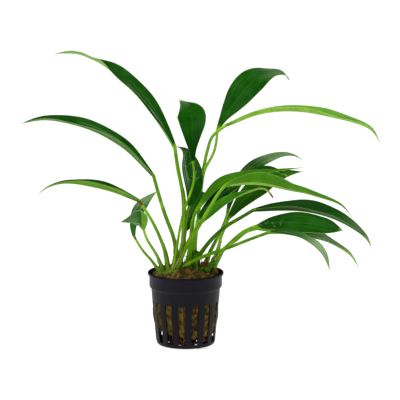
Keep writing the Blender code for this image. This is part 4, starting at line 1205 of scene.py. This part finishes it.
class ANUBIAS_OT_stalks(bpy.types.Operator):
    """Leaf stalks with swollen feet, and the thin sheaths that wrap some of them"""

    bl_idname = "anubias.stalks"
    bl_label = "Stalks"

    def execute(self, context):
        sleeve = sheath_material()
        t = np.linspace(0, 1, STALK_STEPS)
        for name, leaf in LEAVES.items():
            line = spline(leaf["stalk"], len(t))
            line[0] -= unit(line[1] - line[0]) * STALK_INSETS[0]
            line[-1] += unit(line[-1] - line[-2]) * STALK_INSETS[1]
            foot, top = leaf["radii"]
            radii = (foot + (top - foot) * t) * leaf["slim"]
            radii = radii * (1 + FOOT_SWELL * np.exp(-t * line_length(line) / SWELL_LENGTH))
            radii = radii * (1 + 0.012 * np.sin(31 * t + len(name)))
            stalk = tube("stalk_of_" + name, line, radii, STALK_SIDES, (0.6, 0.4))
            dress(stalk, [stalk_material(name, leaf)], "stalk_green", ["stalk_" + name])
            if leaf["sheath"]:
                self.add_sheath(name, line, t, radii, leaf["sheath"], sleeve)
        return {"FINISHED"}

    @staticmethod
    def add_sheath(name, line, t, radii, sheath_sizes, material):
        """A half-open sleeve round the lower stalk, tapering to a point along one margin."""
        reach, stand, opens = sheath_sizes
        sheath, u, v, row = add_sheet("sheath_of_" + name, *SHEATH_PANELS)
        span = np.linspace(0, reach, SHEATH_PANELS[0] + 1)
        half_turn = (1.9 * (1 - u) ** 0.6 + 0.15) * (0.92 + 0.08 * np.sin(23 * u + 3 * v))
        turn = math.radians(opens) + (2 * v - 1) * half_turn
        flare = np.abs(2 * v - 1) ** 2 * stand * (1 - 0.5 * u)
        away = np.interp(span, t, radii)[row] + 0.12 + 0.25 * stand * (1 - u) + flare * 0.6
        round_line(sheath, sampled(t, line, span), row, turn, away)
        wall = sheath.modifiers.new("thickness", "SOLIDIFY")
        wall.thickness = SHEATH_WALL * MM
        wall.offset = 0.0
        apply_modifiers(sheath)
        sheath.data.shade_smooth()
        dress(sheath, [material], "stalk_green")


def blade_frames(leaf, stations):
    """Middle line of a blade with its directions, half width and fold at each station."""
    mid = spline((leaf["stalk"][-1],) + leaf["blade"], stations)
    t = np.linspace(0, 1, stations)
    joint = spline(leaf["stalk"], 200)
    joint = unit(joint[-1] - joint[-2])
    share = np.clip(1 - 13 * t, 0, 1)[:, None]
    tangents = unit(unit(np.gradient(mid, axis=0)) * (1 - share) + joint * share)
    up = along(leaf["faces"], t)
    up = unit(up - (up * tangents).sum(axis=1, keepdims=True) * tangents)
    side = np.cross(tangents, up)
    width = np.maximum(along(leaf["half_widths"], t)[:, 0], 0.3)
    width = width * np.sqrt(np.clip((1 - t) / 0.03, 0.02, 1))
    fold = np.radians(along(leaf["folds"], t)[:, 0])
    return mid, up, side, width, fold


class ANUBIAS_OT_blades(bpy.types.Operator):
    """Leaf blades: folded, gently rippled sheets with a midrib that runs on from the stalk"""

    bl_idname = "anubias.blades"
    bl_label = "Blades"

    def execute(self, context):
        settings = context.scene.anubias_leaf
        for number, (name, leaf) in enumerate(LEAVES.items()):
            self.add_blade(settings, 1.7 if number % 2 else 0.4, name, leaf)
        return {"FINISHED"}

    def add_blade(self, settings, start, name, leaf):
        """One blade, whose ripple starts at the given phase."""
        lamina, margin = settings.blade_thickness / MM, settings.margin_thickness / MM
        blade, u, v, row = add_sheet("blade_of_" + name, *BLADE_PANELS)
        mid, up, side, width, fold = blade_frames(leaf, BLADE_PANELS[0] + 1)
        s = 1 - 2 * v
        s = np.sign(s) * np.abs(s) ** 1.4
        off = np.abs(s)
        w, a = width[row], fold[row]
        rib = (1.75 * (1 - u) ** 1.7 + 0.25) * np.exp(-(off * w / (0.95 - 0.45 * u)) ** 2)
        thick = (lamina + (margin - lamina) * off ** 2) * np.clip(0.45 + w / 3, 0, 1)
        thick = thick + rib * (1 - u ** 8)
        pillow = 0.11 * w * (off - off ** 2) * np.clip(w / 4, 0, 1)
        ripple, ripples = leaf["ripple"]
        waves = ripple * np.sin(2 * math.pi * ripples * u + start + (s > 0) * 2.1) * off ** 2.5
        waves = waves * np.sin(math.pi * np.clip(u, 0, 1)) ** 0.6 * np.clip(w / 5, 0, 1)
        waves = waves * np.clip((1 - u) * 4, 0, 1)
        lift = 0.5 * thick * np.exp(-7 * u) + 0.2 * lamina
        high = off * w * np.sin(a) + pillow + waves + lift
        aside = s * w * np.cos(a)
        place_points(blade, mid[row] + aside[:, None] * side[row] + high[:, None] * up[row])
        self.write_uv(blade, u, 0.5 * (1 - s))
        self.thicken(blade, thick)
        length = line_length(mid)
        for underside in (False, True):
            blade.data.materials.append(leaf_material(name, leaf, length, underside))
        apply_modifiers(blade)
        blade.data.shade_smooth()
        dress(blade, None, leaf["slot"], ["blade_" + name])

    @staticmethod
    def write_uv(blade, lengthways, across):
        """Lay the map so that it reads along the blade from 0 to 1 and across it from 0 to 1."""
        corners = np.empty(len(blade.data.loops), dtype=int)
        blade.data.loops.foreach_get("vertex_index", corners)
        uv = np.stack([lengthways[corners], across[corners]], axis=1)
        blade.data.uv_layers.active.data.foreach_set("uv", uv.ravel())

    @staticmethod
    def thicken(blade, thick):
        """Give the sheet its thickness, by point, on its underside."""
        most = float(thick.max())
        group = blade.vertex_groups.new(name="thickness")
        for index, value in enumerate(thick):
            group.add([index], max(float(value) / most, 0.01), "REPLACE")
        wall = blade.modifiers.new("thickness", "SOLIDIFY")
        wall.thickness = most * MM
        wall.offset = -1.0
        wall.vertex_group = "thickness"
        wall.material_offset = 1
        wall.material_offset_rim = 1


class ANUBIAS_OT_roots(bpy.types.Operator):
    """Roots in the bottom of the pot and the few that have grown out of it"""

    bl_idname = "anubias.roots"
    bl_label = "Roots"

    def execute(self, context):
        looks = {
            "root_brown": root_material("root_brown", (196, 132, 52), (116, 66, 20)),
            "root_pale": root_material("root_pale", (214, 200, 150), (176, 150, 92)),
            "root_dark": root_material("root_dark", (74, 44, 18), (24, 14, 6)),
        }
        t = np.linspace(0, 1, 40)
        radii = ROOT_RADIUS * (1 - 0.4 * t) * (1 + 0.06 * np.sin(37 * t))
        for name, points in ROOTS.items():
            root = tube(name + "_grown", spline(points, len(t)), radii, 10, (0.2, 0.3))
            dress(root, [looks["root_brown"]], "root_brown", [name])
        for name, (look, *sizes) in THIN_ROOTS.items():
            self.thin_roots(name, looks[look], *sizes)
        line = spline(GROUND_ROOT, len(t))
        root = tube("ground_root", line, np.linspace(0.3, 0.14, len(t)), 8, (0.2, 0.3))
        dress(root, [looks["root_pale"]], "root_brown")
        return {"FINISHED"}

    @staticmethod
    def thin_roots(name, material, number, reaches, radii, wander, in_front):
        """Thin roots that wander through the hollow under the plug."""
        rng = random.Random(23)
        pieces = []
        for count in range(number):
            front = count < in_front * number
            angle = rng.uniform(-1.4, 1.4) if front else rng.uniform(0, 2 * math.pi)
            reach = rng.uniform(*reaches)
            x, y = reach * math.sin(angle), -reach * math.cos(angle)
            points = [(0.85 * x, 0.85 * y, rng.uniform(8.5, 10.0))]
            for height in (6.5, 4.2, 2.1, 1.9):
                x += rng.uniform(-wander, wander)
                y += rng.uniform(-0.64 * wander, 0.45 * wander)
                away = max(math.hypot(x, y) / 19.2, 1.0)
                points.append((x / away, y / away, height + rng.uniform(-0.3, 0.5)))
            line = spline(points, 26)
            pieces.append(tube("thin_root", line, np.linspace(*radii, 26), 6, (0.1, 0.1)))
        dress(join_pieces(pieces, name), [material], "root_brown")


class ANUBIAS_OT_old_growth(bpy.types.Operator):
    """Stumps of old leaves, a bud, and brown shreds of their sheaths"""

    bl_idname = "anubias.old_growth"
    bl_label = "Old growth"

    def execute(self, context):
        green = root_material("stump_green", (66, 118, 10), (28, 62, 3))
        t = np.linspace(0, 1, 24)
        for name, (start, end, wide, narrow) in STUMPS.items():
            middle = 0.5 * (np.array(start) + end) + (0.3, 0.0, 0.2)
            line = spline((start, middle, end), len(t))
            radii = (wide + (narrow - wide) * t) * (1 + 0.05 * np.sin(19 * t))
            look = rhizome_material() if name == "bud" else green
            dress(tube(name, line, radii, 16, (0.5, 0.9)), [look], "rhizome")
        rng = random.Random(5)
        pieces = [self.shred(rng, *tuft) for *tuft, number in SHREDS for _ in range(number)]
        shreds = join_pieces(pieces, "sheath_shreds")
        dress(shreds, [root_material("shred_brown", (116, 66, 18), (46, 24, 6))], "root_brown")
        return {"FINISHED"}

    @staticmethod
    def shred(rng, middle, spread):
        """One curled shred somewhere in a tuft."""
        place = np.array([c + rng.gauss(0, w) for c, w in zip(middle, spread)])
        way = unit(np.array([rng.gauss(0, 1), rng.gauss(0, 0.6), rng.gauss(0.5, 0.8)]))
        bend = np.array([rng.gauss(0, 0.6), rng.gauss(0, 0.5), rng.gauss(0, 0.5)])
        half = way * rng.uniform(1.2, 2.6)
        line = spline((place - half, place + bend, place + half), 14)
        radii = rng.uniform(0.22, 0.5) * np.linspace(1, 0.5, 14)
        return tube("shred", line, radii, 6, (0.1, 0.1))


class ANUBIAS_OT_stage(bpy.types.Operator):
    """Pale floor, soft studio light and the camera"""

    bl_idname = "anubias.stage"
    bl_label = "Stage"

    def execute(self, context):
        settings = context.scene.anubias_stage
        self.add_floor(settings)
        self.add_sky(settings)
        for name, (place, target, size, power) in LIGHTS.items():
            data = bpy.data.lights.new(name, "AREA")
            data.shape = "RECTANGLE"
            data.size, data.size_y = size
            data.energy = power * settings.light
            self.aim(name, data, place, target)
        data = bpy.data.cameras.new("camera")
        data.lens = FOCAL_LENGTH
        data.sensor_width = 36.0
        data.clip_start = 0.05
        place = (CAMERA_TARGET[0], -settings.distance, CAMERA_HEIGHT)
        context.scene.camera = self.aim("camera", data, place, CAMERA_TARGET)
        context.scene.view_settings.view_transform = "Standard"
        return {"FINISHED"}

    @staticmethod
    def add_floor(settings):
        """A wide floor that glows white, a little under the pot's base."""
        select_only()
        bpy.ops.mesh.primitive_plane_add(size=FLOOR_SIZE, location=(0, 3.0, -FLOOR_DEPTH))
        floor = bpy.context.object
        floor.name = "floor"
        paint = Paint("floor")
        tone = paint.fade(paint.noise(paint.place, 2.0, 2.0), 0.3, 0.7)
        pale = settings.floor_colour
        colour = paint.mix(tone, dimmed(pale), dimmed(pale, 0.985))
        paint.shader.inputs["Emission Color"].default_value = (1.0, 1.0, 1.0, 1.0)
        paint.shader.inputs["Emission Strength"].default_value = FLOOR_GLOW * settings.light
        floor.data.materials.append(paint.finish(colour, 0.9, 0.0))
        floor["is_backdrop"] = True

    @staticmethod
    def add_sky(settings):
        """White light from all round, stronger from behind, and out of sight in reflections."""
        world = bpy.data.worlds.new("studio")
        world.use_nodes = True
        nodes = Nodes(world.node_tree)
        sky = nodes.tree.nodes["Background"]
        sky.inputs["Color"].default_value = (1.0, 1.0, 1.0, 1.0)
        towards = nodes.parts(nodes.add("TexCoord")["Generated"])
        backdrop = nodes.scaled(nodes.fade(towards["Y"], -0.1, 0.7), 0.7, 0.25)
        nodes.tree.links.new(nodes.times(backdrop, settings.light), sky.inputs["Strength"])
        world.cycles_visibility.glossy = False
        bpy.context.scene.world = world

    @staticmethod
    def aim(name, data, place, target):
        """A light or a camera at a place, turned to its target."""
        obj = bpy.data.objects.new(name, data)
        bpy.context.scene.collection.objects.link(obj)
        obj.location = place
        aim = Vector(target) - obj.location
        obj.rotation_euler = aim.to_track_quat("-Z", "Y").to_euler()
        return obj


PIECES = (
    ANUBIAS_OT_stage, ANUBIAS_OT_pot, ANUBIAS_OT_plug, ANUBIAS_OT_rhizomes, ANUBIAS_OT_stalks,
    ANUBIAS_OT_blades, ANUBIAS_OT_roots, ANUBIAS_OT_old_growth,
)
SETTINGS = {
    "anubias_pot": PotSettings,
    "anubias_plug": PlugSettings,
    "anubias_leaf": LeafSettings,
    "anubias_stage": StageSettings,
}


class ANUBIAS_PT_panel(bpy.types.Panel):
    """Lists the settings and the pieces"""

    bl_idname = "ANUBIAS_PT_panel"
    bl_label = "Potted anubias"
    bl_space_type = "VIEW_3D"
    bl_region_type = "UI"
    bl_category = "Anubias"

    def draw(self, context):
        for key, group in SETTINGS.items():
            box = self.layout.box()
            for name in group.__annotations__:
                box.prop(getattr(context.scene, key), name)
        column = self.layout.column()
        for piece in PIECES:
            column.operator(piece.bl_idname)


def register():
    for group in SETTINGS.values():
        bpy.utils.register_class(group)
    for piece in PIECES:
        bpy.utils.register_class(piece)
    bpy.utils.register_class(ANUBIAS_PT_panel)
    for key, group in SETTINGS.items():
        setattr(bpy.types.Scene, key, bpy.props.PointerProperty(type=group))


def unregister():
    for key in SETTINGS:
        delattr(bpy.types.Scene, key)
    bpy.utils.unregister_class(ANUBIAS_PT_panel)
    for piece in reversed(PIECES):
        bpy.utils.unregister_class(piece)
    for group in SETTINGS.values():
        bpy.utils.unregister_class(group)


def write_size():
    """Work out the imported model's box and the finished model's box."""
    for name, (low, high) in (("cad", CAD_BOX), ("visual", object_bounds())):
        [float(c) for c in low]
        [float(c) for c in high]


def main():
    register()
    bpy.ops.anubias.stage()
    bpy.ops.anubias.pot()
    bpy.ops.anubias.plug()
    bpy.ops.anubias.rhizomes()
    bpy.ops.anubias.stalks()
    bpy.ops.anubias.blades()
    bpy.ops.anubias.roots()
    bpy.ops.anubias.old_growth()
    write_size()


if __name__ == "__main__":
    main()
